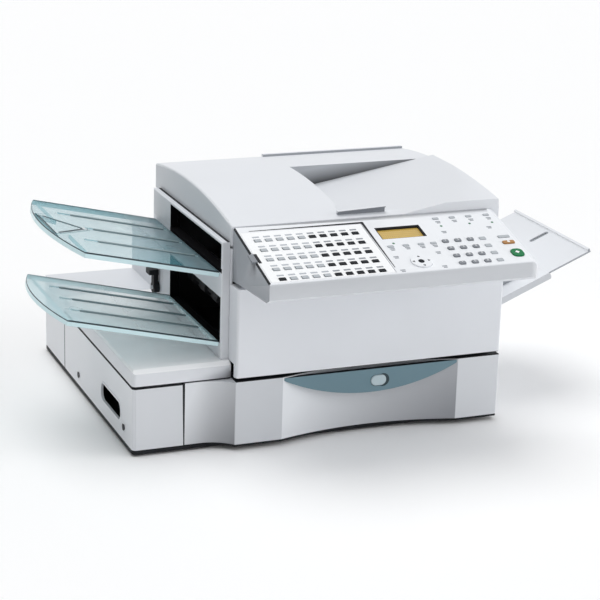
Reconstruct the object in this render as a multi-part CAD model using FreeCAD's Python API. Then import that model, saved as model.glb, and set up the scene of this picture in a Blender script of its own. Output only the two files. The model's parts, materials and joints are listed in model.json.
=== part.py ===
import FreeCAD, Part
import math
import os
from FreeCAD import Vector

# Desktop fax machine with paper deck. Millimetres, +Z up, front faces -Y.
# While modelling, x = 0 is the left side of the body, y = 0 its front face, z = 0 the table.

# General sizes
wall = 3.0
sheet = 2.0
gap = 0.4
fit = 0.06
foot_height = 3.0
foot_radius = 10.0
foot_inset = 22.0

# Body and deck
body_width = 410.0
body_depth = 378.0
machine_depth = 500.0
deck_left = -143.0
deck_front = 21.0
deck_top = 101.0
deck_lid_top = deck_top + 25.0
cassette_seam = -69.0
cover_bottom = deck_top + 6.0
cover_top = 287.0
cheek_depth = 30.0
rear_top = deck_lid_top + 79.0
corner_round = 6.0
lid_bevel = 9.0
end_bevel = 4.0

# Left exit frame with the two paper slots
exit_depth = 12.0
exit_front = 33.0
exit_back = body_depth - 33.0
exit_top = cover_top + 9.0
slot_front = 37.0
slot_back = 262.0
upper_slot_bottom = 257.0
upper_slot_top = 292.5
lower_slot_bottom = deck_lid_top + 23.5
lower_slot_top = lower_slot_bottom + 66.5

# Hand hold in the left end of the deck
grip_front = 77.0
grip_back = 175.0
grip_bottom = 33.0
grip_top = 59.0
grip_rim = 3.0
grip_rise = 1.2

# Screws in the left end of the deck
screw_spots = [(298.0, 26.0), (62.0, 30.0)]
screw_radius = 4.0

# Cassette
cassette_top = deck_top + 2.5
cassette_bottom = 6.3
cassette_back = body_depth - 43.0
tray_wall_top = deck_top - 13.0
block_left = 70.0
block_right = body_width - 67.0
scoop_depth = 20.0
cove_start = -45.0
cassette_plate_back = 24.0
handle_top = cassette_top - 2.5
handle_drop = 35.0
handle_thick = 7.0
handle_ends = 4.0
button_x = (block_left + block_right) / 2 + 10.5
button_z = handle_top - 18.0
button_length = 24.0
button_height = 16.0
lift_pivot_x = 20.0
lift_pivot_z = 14.0
lift_length = body_width - 40.0
lift_pin = 2.5
cassette_wall = 2.5

# Front door
door_bottom = cover_bottom
door_top = 236.5
door_hinge_y = 4.6
door_hinge_z = door_bottom + 3.0
door_pin = 2.5
door_ear = 20.0
ear_width = 6.0
door_ribs = 3

# Document lid
lid_bottom = cover_top + 4.0
lid_front = 30.0
lid_back = body_depth - 6.0
lid_front_z = 318.0
lid_crown_y = 215.0
lid_crown_z = 339.5
lid_back_z = 328.0
pit_left = 172.0
pit_front = 45.0
pit_back = 254.0
pit_floor_left = 303.0
pit_slope = 0.172
lift_left = 161.0
lift_right = 234.0
lift_front = 40.0
lift_left_z = 326.2
lift_right_z = 329.0
lift_hood = 1.6
lid_hinge_y = lid_back - 1.0
lid_hinge_z = lid_bottom + 6.0
lid_pin = 2.5
lid_knuckles = [50.0, body_width - 74.0]
knuckle_length = 24.0
knuckle_radius = 5.0
mouth_top = 326.0
rim_top = 348.0
rim_lean = 7.0
ramp_front_z = 329.0
ramp_mid_y = 140.0
ramp_mid_z = 341.5
ramp_back_z = 344.5
ridge_depth = 6.0
ridge_rise = 4.5

# Control panel
panel_left = 2.0
panel_right = body_width - 5.0
panel_front = -114.0
panel_front_z = 277.8
panel_back = 28.0
panel_back_z = 317.0
panel_lip = 22.0
panel_bottom_back = 241.0
panel_round = 16.0
panel_nose = 3.0
panel_wall = 3.0
panel_run = math.hypot(panel_back - panel_front, panel_back_z - panel_front_z)

# One touch key leaf, in panel coordinates
leaf_left = 6.0
leaf_right = 186.0
leaf_front = 4.0
leaf_back = panel_run - 14.3
leaf_depth = 4.0
leaf_thick = 2.3
leaf_pin = 1.0
leaf_pin_reach = 2.2
tab_front = (leaf_front + leaf_back) / 2 - 10.5
tab_back = tab_front + 19.0
touch_columns = 10
touch_light_columns = 5
touch_rows = 5
touch_u = 24.0
touch_v = 11.0
touch_pitch_u = 16.0
touch_pitch_v = (leaf_back - leaf_front - 30.2) / (touch_rows - 1)
touch_length = 9.0
touch_width = 6.0

# Dial and command keys, in panel coordinates
dial_u = 288.0
dial_v = 12.0
dial_pitch_u = 19.3
dial_pitch_v = 19.3
dial_length = 9.6
dial_width = 7.0
key_rise = 1.8
key_flange = 1.0
key_round = 2.0
command_u = 379.0
command_length = 18.0
start_v = 25.5
start_width = 19.0
start_round = 7.0
stop_v = 54.0
stop_width = 7.4
clear_v = 70.0
clear_width = 6.0
menu_u = [204.0, 227.0, 250.0, 269.0]
menu_v = panel_run - 79.3
mode_u = [300.0, 326.0, 352.0, 380.0]
mode_v = panel_run - 16.3
menu_length = 9.0
menu_width = 5.0
menu_rise = 1.0
pad_u = 231.0
pad_v = 24.0
pad_radius = 15.0
screen_left = 200.0
screen_right = 268.0
screen_front = panel_run - 59.3
screen_back = screen_front + 31.0
screen_rim = 2.0
screen_depth = 3.5
screen_thick = 0.5

# Paper trays on the left
tray_thick = 8.0
tray_skin = 2.2
tray_rib = 1.4
upper_tray_root_z = upper_slot_bottom - 4.2
upper_tray_slope = 0.225
upper_tray_front = 40.0
upper_tray_back = 330.0
upper_tray_side = 195.0
upper_tray_reach = 221.0
lower_tray_root_z = lower_slot_bottom + 2.8
lower_tray_slope = 0.235
lower_tray_front = 38.0
lower_tray_back = 263.0
lower_tray_side = 222.0
lower_tray_reach = 242.0
flap_base = 212.0
flap_tip = 152.0
flap_front = 130.0
flap_back = 232.0
flap_gap = 1.2
flap_axle_z = -2.6
flap_axle = 1.2
flap_heel = 3.4
flap_pin = 12.0
tray_ribs = 3

# Bypass tray on the right
bypass_hinge_x = body_width + 4.0
bypass_hinge_z = cover_bottom + 41.0
bypass_angle = 22.6
bypass_front = 70.0
bypass_back = 331.0
bypass_length = 122.0
bypass_reach = 200.0
bypass_thick = 10.0
bypass_pin = 3.0
bypass_lug = 7.0
bypass_mouth = 28.0
bypass_top = 3.0
extension_inner = 78.0
extension_thick = 3.0
extension_top = -1.5
extension_lip = 2.0
extension_margin = 11.0
extension_slot = 29.0
extension_slot_width = 4.0
guide_start = 26.0
guide_length = 60.0
guide_height = 8.0
guide_margin = 33.0
guide_foot = 14.0

# Inside
plate_front = 60.0
plate_back = body_depth - 60.0
plate_top = cover_top - 5.0
gear_module = 1.25
fuser_teeth = 32
exit_teeth = 20
pinion_teeth = 12
gear_width = 8.0
gear_front = plate_back + 6.0
heat_x = 62.0
heat_z = cover_bottom + 79.0
heat_radius = 15.0
exit_radius = 9.0
exit_direction = 200.0
motor_direction = 60.0
motor_radius = 20.0
motor_length = 34.0
pickup_x = body_width - 75.0
pickup_z = cover_bottom + 9.0
pickup_radius = 16.0
pickup_room = 24.0
feed_x = 150.0
feed_z = cover_top - 11.0
feed_radius = 13.6
shaft_radius = 4.0
cartridge_left = 190.0
cartridge_right = 318.0
cartridge_bottom = cover_bottom + 33.0
cartridge_top = 236.0
glass_left = 84.0
glass_right = 116.0

# Sockets, vents and board in the rear housing
inlet_x = 340.0
inlet_z = 22.0
inlet_width = 28.0
inlet_height = 20.0
inlet_depth = 22.0
line_x = [250.0, 275.0]
line_width = 14.0
vent_left = 60.0
vent_length = 120.0
vent_rows = 6
vent_z = 120.0
vent_pitch = 9.0
board_left = 100.0
board_right = 300.0
board_bottom = 60.0
board_top = 180.0
board_y = 470.0
board_thick = 1.6
board_post = 4.0
board_inset = 12.0
line_depth = 16.0
vent_height = 3.0

# Release lever beside the lower slot
lever_y = 318.0
lever_z = deck_lid_top + 22.0
lever_pin = 3.0
lever_hub = 9.0
lever_reach = 30.0


def box(x0, x1, y0, y1, z0, z1):
    return Part.makeBox(x1 - x0, y1 - y0, z1 - z0, Vector(x0, y0, z0))


def rod(axis, start, end, a, b, radius):
    # A cylinder along one axis; a and b are the other two coordinates in x, y, z order.
    base = {"x": Vector(start, a, b), "y": Vector(a, start, b), "z": Vector(a, b, start)}[axis]
    way = {"x": Vector(1, 0, 0), "y": Vector(0, 1, 0), "z": Vector(0, 0, 1)}[axis]
    return Part.makeCylinder(radius, end - start, base, way)


def solid_along(axis, points, start, end):
    # A prism whose outline is given in the two coordinates across the axis.
    spots = {
        "x": [Vector(start, p, q) for p, q in points],
        "y": [Vector(p, start, q) for p, q in points],
        "z": [Vector(p, q, start) for p, q in points],
    }[axis]
    way = {"x": Vector(1, 0, 0), "y": Vector(0, 1, 0), "z": Vector(0, 0, 1)}[axis]
    face = Part.Face(Part.makePolygon(spots + [spots[0]]))
    return face.extrude(way * (end - start))


def outline(*edges):
    return Part.Face(Part.Wire([edge.toShape() for edge in edges]))


def join(shapes):
    return shapes[0].multiFuse(shapes[1:]).removeSplitter()


def round_edges(shape, radius, wanted):
    edges = [edge for edge in shape.Edges if wanted(edge)]
    return shape.makeFillet(radius, edges)


def runs(edge, axis):
    if not isinstance(edge.Curve, Part.Line):
        return False
    return abs(getattr(edge.tangentAt(edge.FirstParameter), axis)) > 0.999


def middle(edge):
    return edge.CenterOfMass


# Panel frame: u across, v up the slope from the front edge, w out of the face.
panel_angle = math.degrees(math.atan2(panel_back_z - panel_front_z, panel_back - panel_front))
panel_place = FreeCAD.Placement(
    Vector(0, panel_front, panel_front_z), FreeCAD.Rotation(Vector(1, 0, 0), panel_angle)
)


def on_panel(shape):
    placed = shape.copy()
    placed.Placement = panel_place.multiply(placed.Placement)
    return placed


def at_deck_corner(edge):
    return runs(edge, "z") and middle(edge).x < deck_left + 1 and middle(edge).y < deck_front + 1


def deck_frame():
    outer = box(deck_left, body_width, deck_front, body_depth, foot_height, deck_top)
    outer = round_edges(outer, corner_round, at_deck_corner)
    floor = foot_height + wall
    inner_back = body_depth - wall
    cassette_room = box(cassette_seam, body_width - wall, deck_front - 1, inner_back, floor, deck_top + 1)
    end_room = box(deck_left + wall, cassette_seam - wall, deck_front + wall, inner_back, floor, deck_top + 1)
    curve = (grip_top - grip_bottom) * 0.42
    hand = box(deck_left - grip_rim, deck_left + wall + 1, grip_front, grip_back, grip_bottom, grip_top)
    hand = round_edges(hand, curve, lambda e: runs(e, "x"))
    rim = box(deck_left - grip_rise, deck_left + 1, grip_front - grip_rim, grip_back + grip_rim,
              grip_bottom - grip_rim, grip_top + grip_rim)
    rim = round_edges(rim, curve + grip_rim, lambda e: runs(e, "x"))
    return outer.cut([cassette_room, end_room]).fuse(rim).cut(hand).removeSplitter()


def deck_lid():
    right = -gap
    outer = box(deck_left, right, deck_front, body_depth, deck_top + gap, deck_lid_top)
    outer = round_edges(outer, corner_round, at_deck_corner)
    above = deck_lid_top + 1
    front_cut = solid_along(
        "x", [(deck_front - 1, deck_lid_top - lid_bevel * 0.6), (deck_front + lid_bevel, above),
              (deck_front - 1, above)], deck_left - 1, right + 1)
    left_cut = solid_along(
        "y", [(deck_left - 1, deck_lid_top - end_bevel), (deck_left + end_bevel, above),
              (deck_left - 1, above)], deck_front - 1, body_depth + 1)
    room = box(deck_left + wall, right - wall, deck_front + wall, body_depth - wall, deck_top,
               deck_lid_top - lid_bevel)
    return outer.cut([front_cut, left_cut, room])


def rear_housing():
    front = body_depth + gap
    step = [(deck_left, foot_height), (body_width, foot_height), (body_width, rear_top), (0, rear_top),
            (0, deck_lid_top), (deck_left, deck_lid_top)]
    outer = solid_along("y", step, front, machine_depth)
    outer = round_edges(outer, corner_round, lambda e: middle(e).y > machine_depth - 1)
    hollow = [(deck_left + wall, foot_height + wall), (body_width - wall, foot_height + wall),
              (body_width - wall, rear_top - wall), (wall, rear_top - wall),
              (wall, deck_lid_top - wall), (deck_left + wall, deck_lid_top - wall)]
    room = solid_along("y", hollow, front - 1, machine_depth - wall)
    shell = outer.cut(room)
    cuts = [box(inlet_x - inlet_width / 2 - gap, inlet_x + inlet_width / 2 + gap, machine_depth - wall - 1,
                machine_depth + 1, inlet_z - gap, inlet_z + inlet_height + gap)]
    for x in line_x:
        cuts.append(box(x - line_width / 2 - gap, x + line_width / 2 + gap, machine_depth - wall - 1,
                        machine_depth + 1, inlet_z - gap, inlet_z + line_width + gap))
    for step_z in range(vent_rows):
        z = vent_z + step_z * vent_pitch
        cuts.append(box(vent_left, vent_left + vent_length, machine_depth - wall - 1, machine_depth + 1, z,
                        z + vent_height))
    posts = []
    for x in (board_left + board_inset, board_right - board_inset):
        for z in (board_bottom + board_inset, board_top - board_inset):
            posts.append(rod("y", board_y + board_thick, machine_depth - wall + 0.5, x, z, board_post))
    back_wall = box(0, body_width, front, front + wall, rear_top - wall, cover_top)
    return join([shell.cut(cuts), back_wall] + posts)


def rear_sockets():
    left = inlet_x - inlet_width / 2
    top = inlet_z + inlet_height
    body = box(left, left + inlet_width, machine_depth - inlet_depth, machine_depth, inlet_z, top)
    socket = box(left + 2, left + inlet_width - 2, machine_depth - inlet_depth + 3, machine_depth + 1,
                 inlet_z + 2, top - 2)
    blades = []
    for shift, lift in ((-7, 0), (0, 3), (7, 0)):
        x = inlet_x + shift
        z = inlet_z + inlet_height / 2 + lift
        blades.append(box(x - 1, x + 1, machine_depth - inlet_depth + 2, machine_depth - 4, z - 2.5, z + 2.5))
    jacks = [join([body.cut(socket)] + blades)]
    for x in line_x:
        left = x - line_width / 2
        top = inlet_z + line_width
        end = machine_depth - line_depth
        body = box(left, left + line_width, end, machine_depth, inlet_z, top)
        port = box(left + 2, left + line_width - 2, end + 3, machine_depth + 1, inlet_z + 3, top - 2)
        latch = box(x - 3, x + 3, end + 3, machine_depth + 1, inlet_z + 1, inlet_z + 4)
        jacks.append(body.cut([port, latch]))
    return Part.makeCompound(jacks)


def main_board():
    board = box(board_left, board_right, board_y, board_y + board_thick, board_bottom, board_top)
    seat = board_y + 0.5
    parts = [board]
    for right, up, size, height in ((40, 50, 30, 4), (100, 30, 26, 5), (140, 10, 34, 16)):
        x = board_left + right
        z = board_bottom + up
        parts.append(box(x, x + size, board_y - height, seat, z, z + size))
    for right in (30, 56):
        parts.append(rod("y", board_y - 22, seat, board_left + right, board_top - 20, 9.0))
    return join(parts)


def left_side_cover():
    plate = box(0, wall, cheek_depth + gap, body_depth, cover_bottom, cover_top)
    slots = []
    for low, high in ((upper_slot_bottom, cover_top - 3), (lower_slot_bottom, lower_slot_top)):
        slots.append(box(-1, wall + 1, slot_front, slot_back, low, high))
    return plate.cut(slots)


def exit_frame():
    outer = box(-exit_depth, -gap, exit_front, exit_back, deck_lid_top + gap, exit_top)
    outer = round_edges(outer, 2.0, lambda e: middle(e).x < 1 - exit_depth)
    slots = []
    for low, high in ((upper_slot_bottom, upper_slot_top), (lower_slot_bottom, lower_slot_top)):
        slots.append(box(-exit_depth - 1, 1, slot_front, slot_back, low, high))
    back_room = box(-exit_depth + wall, 1, slot_back + wall, exit_back - wall, deck_lid_top + 10,
                    exit_top - wall)
    pin = rod("x", -exit_depth - 13, -exit_depth + wall, lever_y, lever_z, lever_pin)
    return join([outer.cut(slots + [back_room]), pin])


def release_lever():
    near = -exit_depth - gap
    far = near - 9
    hub = rod("x", far, near, lever_y, lever_z, lever_hub)
    half = lever_hub * 0.7
    tip = lever_z + lever_reach
    arm = box(far, near - 2, lever_y - half, lever_y + half, lever_z, tip)
    thumb = box(far - 8, near - 2, lever_y - lever_hub, lever_y + lever_hub, tip - 8, tip)
    hole = rod("x", far - 9, near + 1, lever_y, lever_z, lever_pin + fit)
    return join([hub, arm, thumb]).cut(hole)


def right_side_cover():
    left = body_width - wall
    plate = box(left, body_width, cheek_depth + gap, body_depth, cover_bottom, cover_top)
    slot = box(left - 1, body_width + 1, bypass_front + 6, bypass_back - 6, bypass_hinge_z + 4,
               bypass_hinge_z + bypass_mouth)
    lugs = []
    for start in (bypass_front - 9, bypass_back + 1):
        lug = box(body_width - 1, bypass_hinge_x + 6, start, start + 8, bypass_hinge_z - bypass_lug,
                  bypass_hinge_z + bypass_lug)
        lugs.append(lug.cut(rod("y", start - 1, start + 9, bypass_hinge_x, bypass_hinge_z, bypass_pin + fit)))
    return join([plate.cut(slot)] + lugs)


def front_door():
    left = 0.0
    right = body_width
    outer = box(left, right, 0, cheek_depth, door_bottom, door_top)
    outer = round_edges(outer, 4.0, lambda e: runs(e, "z") and middle(e).y < 1)
    room = box(left + wall, right - wall, wall, cheek_depth + 1, door_bottom - 1, door_top - wall)
    shell = outer.cut(room)
    heel = box(left - 1, right + 1, wall + 8, cheek_depth + 1, door_bottom - 1, door_hinge_z + 16)
    shell = shell.cut(heel)
    ears = []
    bores = []
    for start in (door_ear, body_width - door_ear - ear_width):
        ears.append(box(start, start + ear_width, wall - 0.5, door_hinge_y + 5, door_bottom + 0.5,
                        door_hinge_z + 9))
        bores.append(rod("x", start - 8, start + 14, door_hinge_y, door_hinge_z, door_pin + fit))
    ribs = []
    for step in range(1, door_ribs + 1):
        x = body_width * step / (door_ribs + 1)
        ribs.append(box(x, x + sheet, wall - 0.5, wall + 6, door_bottom + 20, door_top - 2))
    return join([shell] + ears + ribs).cut(bores)


def lid_profile(inset, bottom):
    # Crowned side outline of the lid, moved in by the inset.
    front = lid_front + inset
    back = lid_back - inset
    crown = Part.Arc(
        Vector(0, front, lid_front_z - inset), Vector(0, lid_crown_y, lid_crown_z - inset),
        Vector(0, back, lid_back_z - inset)
    )
    return outline(
        crown,
        Part.LineSegment(Vector(0, back, lid_back_z - inset), Vector(0, back, bottom)),
        Part.LineSegment(Vector(0, back, bottom), Vector(0, front, bottom)),
        Part.LineSegment(Vector(0, front, bottom), Vector(0, front, lid_front_z - inset)),
    )


def lid_slab(inset, left, right, bottom):
    slab = lid_profile(inset, bottom).extrude(Vector(right - left, 0, 0))
    slab.translate(Vector(left, 0, 0))
    return slab


def pit_floor(x):
    return pit_floor_left + pit_slope * (x - pit_left)


def ramp_cap(left, right):
    # Everything below the curved upper edge of the feed ramp.
    front = Vector(left, lid_front, ramp_front_z)
    back = Vector(left, pit_back, ramp_back_z)
    back_low = Vector(left, pit_back, lid_bottom)
    front_low = Vector(left, lid_front, lid_bottom)
    side = outline(
        Part.Arc(front, Vector(left, ramp_mid_y, ramp_mid_z), back), Part.LineSegment(back, back_low),
        Part.LineSegment(back_low, front_low), Part.LineSegment(front_low, front))
    return side.extrude(Vector(right - left, 0, 0))


def document_lid():
    left = 0.0
    right = body_width
    outer = lid_slab(0, left, right, lid_bottom)
    outer = round_edges(
        outer, 3.0, lambda e: middle(e).x < left + 1 and not runs(e, "z") and middle(e).z > lid_bottom + 20)
    high = 400.0
    pit = solid_along(
        "y", [(pit_left, pit_floor(pit_left)), (right + 1, pit_floor(right + 1)), (right + 1, high),
              (pit_left, high)], pit_front, pit_back,
    )
    ramp = solid_along(
        "y", [(pit_left, lid_bottom), (right, lid_bottom), (right, pit_floor(right)),
              (pit_left, pit_floor(pit_left))], lid_front, pit_back,
    )
    bevel = solid_along(
        "x", [(lid_front, lid_bottom), (lid_front, lid_front_z - 1), (lid_front + rim_lean, rim_top),
              (pit_back, rim_top), (pit_back, lid_bottom)], left, right + 1,
    )
    shell = outer.cut(pit).fuse(ramp.common(bevel).common(ramp_cap(left, right + 1)))
    deep = lid_bottom - 1
    left_room = lid_slab(wall, left + wall, pit_left - wall, deep)
    rear_room = lid_slab(wall, pit_left - wall, right - wall, deep).common(
        box(left, right, pit_back + wall, lid_back, deep, high))
    under = solid_along(
        "y", [(pit_left - wall, deep), (right - wall, deep), (right - wall, pit_floor(right) - 2 * wall),
              (pit_left - wall, pit_floor(pit_left) - wall)], lid_front + wall, pit_back + wall,
    )
    under = under.common(lid_slab(wall, left, right, deep))
    mouth = box(pit_left - wall - 1, pit_left + 1, pit_front + 1, pit_back - 1, pit_floor_left + gap, mouth_top)
    shell = shell.cut([left_room, rear_room, under, mouth])
    lift_block = [(lift_left, lid_front_z), (lift_right, lid_front_z), (lift_right, lift_right_z),
                  (lift_left, lift_left_z)]
    lift = solid_along("y", lift_block, lift_front + lift_hood, pit_front)
    hood = solid_along(
        "y", [(lift_left, lift_left_z - lift_hood), (lift_right, lift_right_z - lift_hood),
              (lift_right, lift_right_z), (lift_left, lift_left_z)], lift_front - lift_hood, pit_front)
    ridge = box(pit_left, right, lid_back - ridge_depth, lid_back, lid_back_z - wall, lid_back_z + ridge_rise)
    shell = shell.fuse([lift, hood, ridge])
    knuckles = []
    bores = []
    room_length = knuckle_length + 7
    posts = [box(start - 1, start + room_length, lid_back - wall - 1, lid_back + 1, lid_bottom - 1,
                 lid_hinge_z + 8) for start in lid_knuckles]
    shell = shell.cut(posts)
    for start in lid_knuckles:
        end = start + knuckle_length
        barrel = rod("x", start, end, lid_hinge_y, lid_hinge_z, knuckle_radius)
        web = box(start, end, lid_back - wall - 4, lid_back - 1, lid_hinge_z, lid_hinge_z + 16)
        bore = rod("x", start - 1, end + 1, lid_hinge_y, lid_hinge_z, lid_pin + fit)
        knuckles.append(barrel.fuse(web))
        bores.append(bore)
    return join([shell] + knuckles).cut(bores)


def scanner_deck():
    top = cover_top + 2
    plate = box(wall + gap, body_width - wall - gap, panel_back + 0.3, body_depth - gap, top - 5, top)
    windows = [
        box(feed_x - 19, feed_x + 19, plate_front + 20, plate_back - 20, top - 6, top + 1),
        box(glass_left, glass_right, pit_front - gap, pit_back + gap, top - 2.2, top + 1),
        box(glass_left + 3, glass_right - 3, pit_front + 4, pit_back - 4, top - 6, top + 1),
    ]
    plate = plate.cut(windows)
    lugs = []
    for start in lid_knuckles:
        end = start + knuckle_length
        post = box(end + gap, end + 6, lid_hinge_y - knuckle_radius, lid_hinge_y + knuckle_radius, top - 5,
                   lid_hinge_z + knuckle_radius)
        pin = rod("x", start + 3, end + 3, lid_hinge_y, lid_hinge_z, lid_pin)
        lugs += [post, pin]
    return join([plate] + lugs)


def scan_glass():
    top = cover_top + 2
    return box(glass_left + 0.2, glass_right - 0.2, pit_front, pit_back, top - 2.1, top - 0.1)


def panel_outline(inset):
    slope = math.radians(panel_angle)
    rise = inset / math.cos(slope)
    lip_bottom = panel_front_z - panel_lip
    return [
        (panel_back - inset, panel_back_z - rise - inset * math.tan(slope)),
        (panel_front + inset, panel_front_z - rise + inset * math.tan(slope)),
        (panel_front + inset, lip_bottom + inset * 0.6),
        (panel_front + 10 + inset * 0.5, lip_bottom - 6 + inset),
        (-2, panel_bottom_back + 3 + inset),
        (panel_back - inset, panel_bottom_back + inset),
    ]


def key_spots():
    # Every pressed key: name, u, v, length, width, corner.
    spots = []
    names = ["one", "two", "three", "four", "five", "six", "seven", "eight", "nine", "star", "zero", "hash"]
    for index, name in enumerate(names):
        row, column = divmod(index, 3)
        spots.append(("dial_key_" + name, dial_u + column * dial_pitch_u, dial_v + (3 - row) * dial_pitch_v,
                      dial_length, dial_width, key_round))
    spots.append(("start_key", command_u, start_v, command_length, start_width, start_round))
    spots.append(("stop_key", command_u, stop_v, command_length, stop_width, key_round))
    return spots


def menu_spots():
    # The small command keys: u, v, length, width.
    spots = [(u, menu_v, menu_length, menu_width) for u in menu_u]
    spots += [(u, mode_v, menu_length, menu_width) for u in mode_u]
    side_u = dial_u + 3 * dial_pitch_u
    spots += [(side_u, dial_v + row * dial_pitch_v, dial_length, dial_width) for row in range(4)]
    spots.append((command_u, clear_v, command_length, clear_width))
    return spots


def pad_bar(u, v, length, width, low, high, radius):
    bar = box(u - length / 2, u + length / 2, v - width / 2, v + width / 2, low, high)
    return round_edges(bar, radius, lambda e: runs(e, "z"))


def press_key(u, v, length, width, corner):
    cap = pad_bar(u, v, length, width, -panel_wall - gap, key_rise, corner)
    cap = round_edges(cap, 0.6, lambda e: middle(e).z > key_rise - 0.01)
    foot = box(u - length / 2 - key_flange, u + length / 2 + key_flange, v - width / 2 - key_flange,
               v + width / 2 + key_flange, -panel_wall - gap - 1.2, -panel_wall - gap)
    return on_panel(cap.fuse(foot).removeSplitter())


def touch_spots(first, last):
    spots = []
    for column in range(first, last):
        for row in range(touch_rows):
            spots.append((touch_u + column * touch_pitch_u, touch_v + row * touch_pitch_v))
    return spots


def panel_block(inset):
    # The panel's outer form, or its room at a wall's distance, with a rounded right end.
    front = panel_front + inset
    right = panel_right - inset
    block = solid_along("x", panel_outline(inset), panel_left + inset, right)
    block = round_edges(
        block, panel_nose,
        lambda e: runs(e, "x") and middle(e).y < front + 1 and middle(e).z > panel_front_z - inset - 2)
    return round_edges(
        block, panel_round - inset,
        lambda e: runs(e, "z") and middle(e).x > right - 1 and middle(e).y < front + 1)


def control_panel():
    rear = panel_back - panel_wall
    drop = solid_along(
        "x", [(panel_front + 16, panel_front_z - panel_lip - 20), (-2, panel_bottom_back - 20),
              (rear, panel_bottom_back - 20), (rear, panel_bottom_back + 6),
              (-2, panel_bottom_back + 8), (panel_front + 16, panel_front_z - panel_lip)],
        panel_left + panel_wall, panel_right - panel_wall - panel_round)
    shell = panel_block(0).cut([panel_block(panel_wall), drop])
    tub = on_panel(box(panel_left + 1, leaf_right + 3, leaf_front - 3, leaf_back + 3, -leaf_depth - 2.5, -1))
    shell = shell.fuse(tub)
    recess = on_panel(box(leaf_left, leaf_right, leaf_front, leaf_back, -leaf_depth, 20))
    window = on_panel(box(screen_left, screen_right, screen_front, screen_back, -20, 20))
    reach = leaf_pin_reach + gap
    pin_hole = on_panel(
        rod("y", leaf_front - reach, leaf_back + reach, leaf_right - 2, -leaf_thick / 2, leaf_pin + fit))
    thumb = on_panel(box(panel_left - 1, leaf_left + 1, tab_front - 2, tab_back + 2, -leaf_depth, 20))
    holes = [recess, window, thumb, pin_hole]
    for name, u, v, length, width, corner in key_spots():
        holes.append(on_panel(pad_bar(u, v, length + 2 * gap, width + 2 * gap, -20, 20, corner + gap)))
    for u, v, length, width in menu_spots():
        holes.append(on_panel(pad_bar(u, v, length + 2 * gap, width + 2 * gap, -20, 20, 1.5 + gap)))
    holes.append(on_panel(rod("z", -20, 20, pad_u, pad_v, pad_radius + gap)))
    return shell.cut(holes)


def panel_underside():
    under = [(panel_front + 16 + gap, panel_front_z - panel_lip - 5), (-2, panel_bottom_back + 3.5),
             (panel_back - panel_wall - gap, panel_bottom_back + 0.5),
             (panel_back - panel_wall - gap, panel_bottom_back + 3), (-2, panel_bottom_back + 6),
             (panel_front + 16 + gap, panel_front_z - panel_lip - 2.5)]
    right = panel_right - panel_wall - panel_round - gap
    return solid_along("x", under, panel_left + panel_wall + gap, right)


def display_module():
    frame = box(screen_left + 0.3, screen_right - 0.3, screen_front + 0.3, screen_back - 0.3, -11, -1.0)
    hollow = box(screen_left + screen_rim, screen_right - screen_rim, screen_front + screen_rim,
                 screen_back - screen_rim, -screen_depth - screen_thick - 0.1, 1)
    return on_panel(frame.cut(hollow))


def display_screen():
    rim = screen_rim + 0.1
    return on_panel(
        box(screen_left + rim, screen_right - rim, screen_front + rim, screen_back - rim,
            -screen_depth - screen_thick, -screen_depth))


def menu_keys():
    pads = []
    for u, v, length, width in menu_spots():
        pad = pad_bar(u, v, length, width, -panel_wall, menu_rise, 1.5)
        pads.append(on_panel(round_edges(pad, 0.4, lambda e: middle(e).z > menu_rise - 0.01)))
    return Part.makeCompound(pads)


def navigation_pad():
    disc = rod("z", -panel_wall - gap, key_rise, pad_u, pad_v, pad_radius)
    disc = round_edges(disc, 0.8, lambda e: middle(e).z > key_rise - 0.01)
    foot = rod("z", -panel_wall - gap - 1.2, -panel_wall - gap, pad_u, pad_v, pad_radius + key_flange)
    dish = Part.makeSphere(40.0, Vector(pad_u, pad_v, key_rise + 39.2))
    return on_panel(disc.fuse(foot).cut(dish).removeSplitter())


def one_touch_leaf():
    plate = box(leaf_left + gap, leaf_right - 1, leaf_front + gap, leaf_back - gap, -leaf_thick, 0)
    holes = []
    for u, v in touch_spots(0, touch_columns):
        holes.append(box(u - touch_length / 2 - 0.9, u + touch_length / 2 + 0.9, v - touch_width / 2 - 0.9,
                         v + touch_width / 2 + 0.9, -leaf_thick - 1, 1))
    pin = rod("y", leaf_front - leaf_pin_reach, leaf_back + leaf_pin_reach, leaf_right - 2, -leaf_thick / 2,
              leaf_pin)
    tab = box(panel_left - 4, leaf_left + 4, tab_front, tab_back, -leaf_thick, -0.2)
    return on_panel(join([plate.cut(holes), pin, tab]))


def touch_keys(first, last):
    under = -leaf_thick - 0.3
    spots = touch_spots(first, last)
    reach = touch_pitch_u / 2 - 0.3
    last_v = touch_v + (touch_rows - 1) * touch_pitch_v
    sheet_part = box(spots[0][0] - reach, spots[-1][0] + reach, touch_v - 5, last_v + 5, under - 0.6, under)
    caps = [pad_bar(u, v, touch_length, touch_width, under - 0.3, 1.0, 1.0) for u, v in spots]
    return on_panel(join([sheet_part] + caps))


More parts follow.
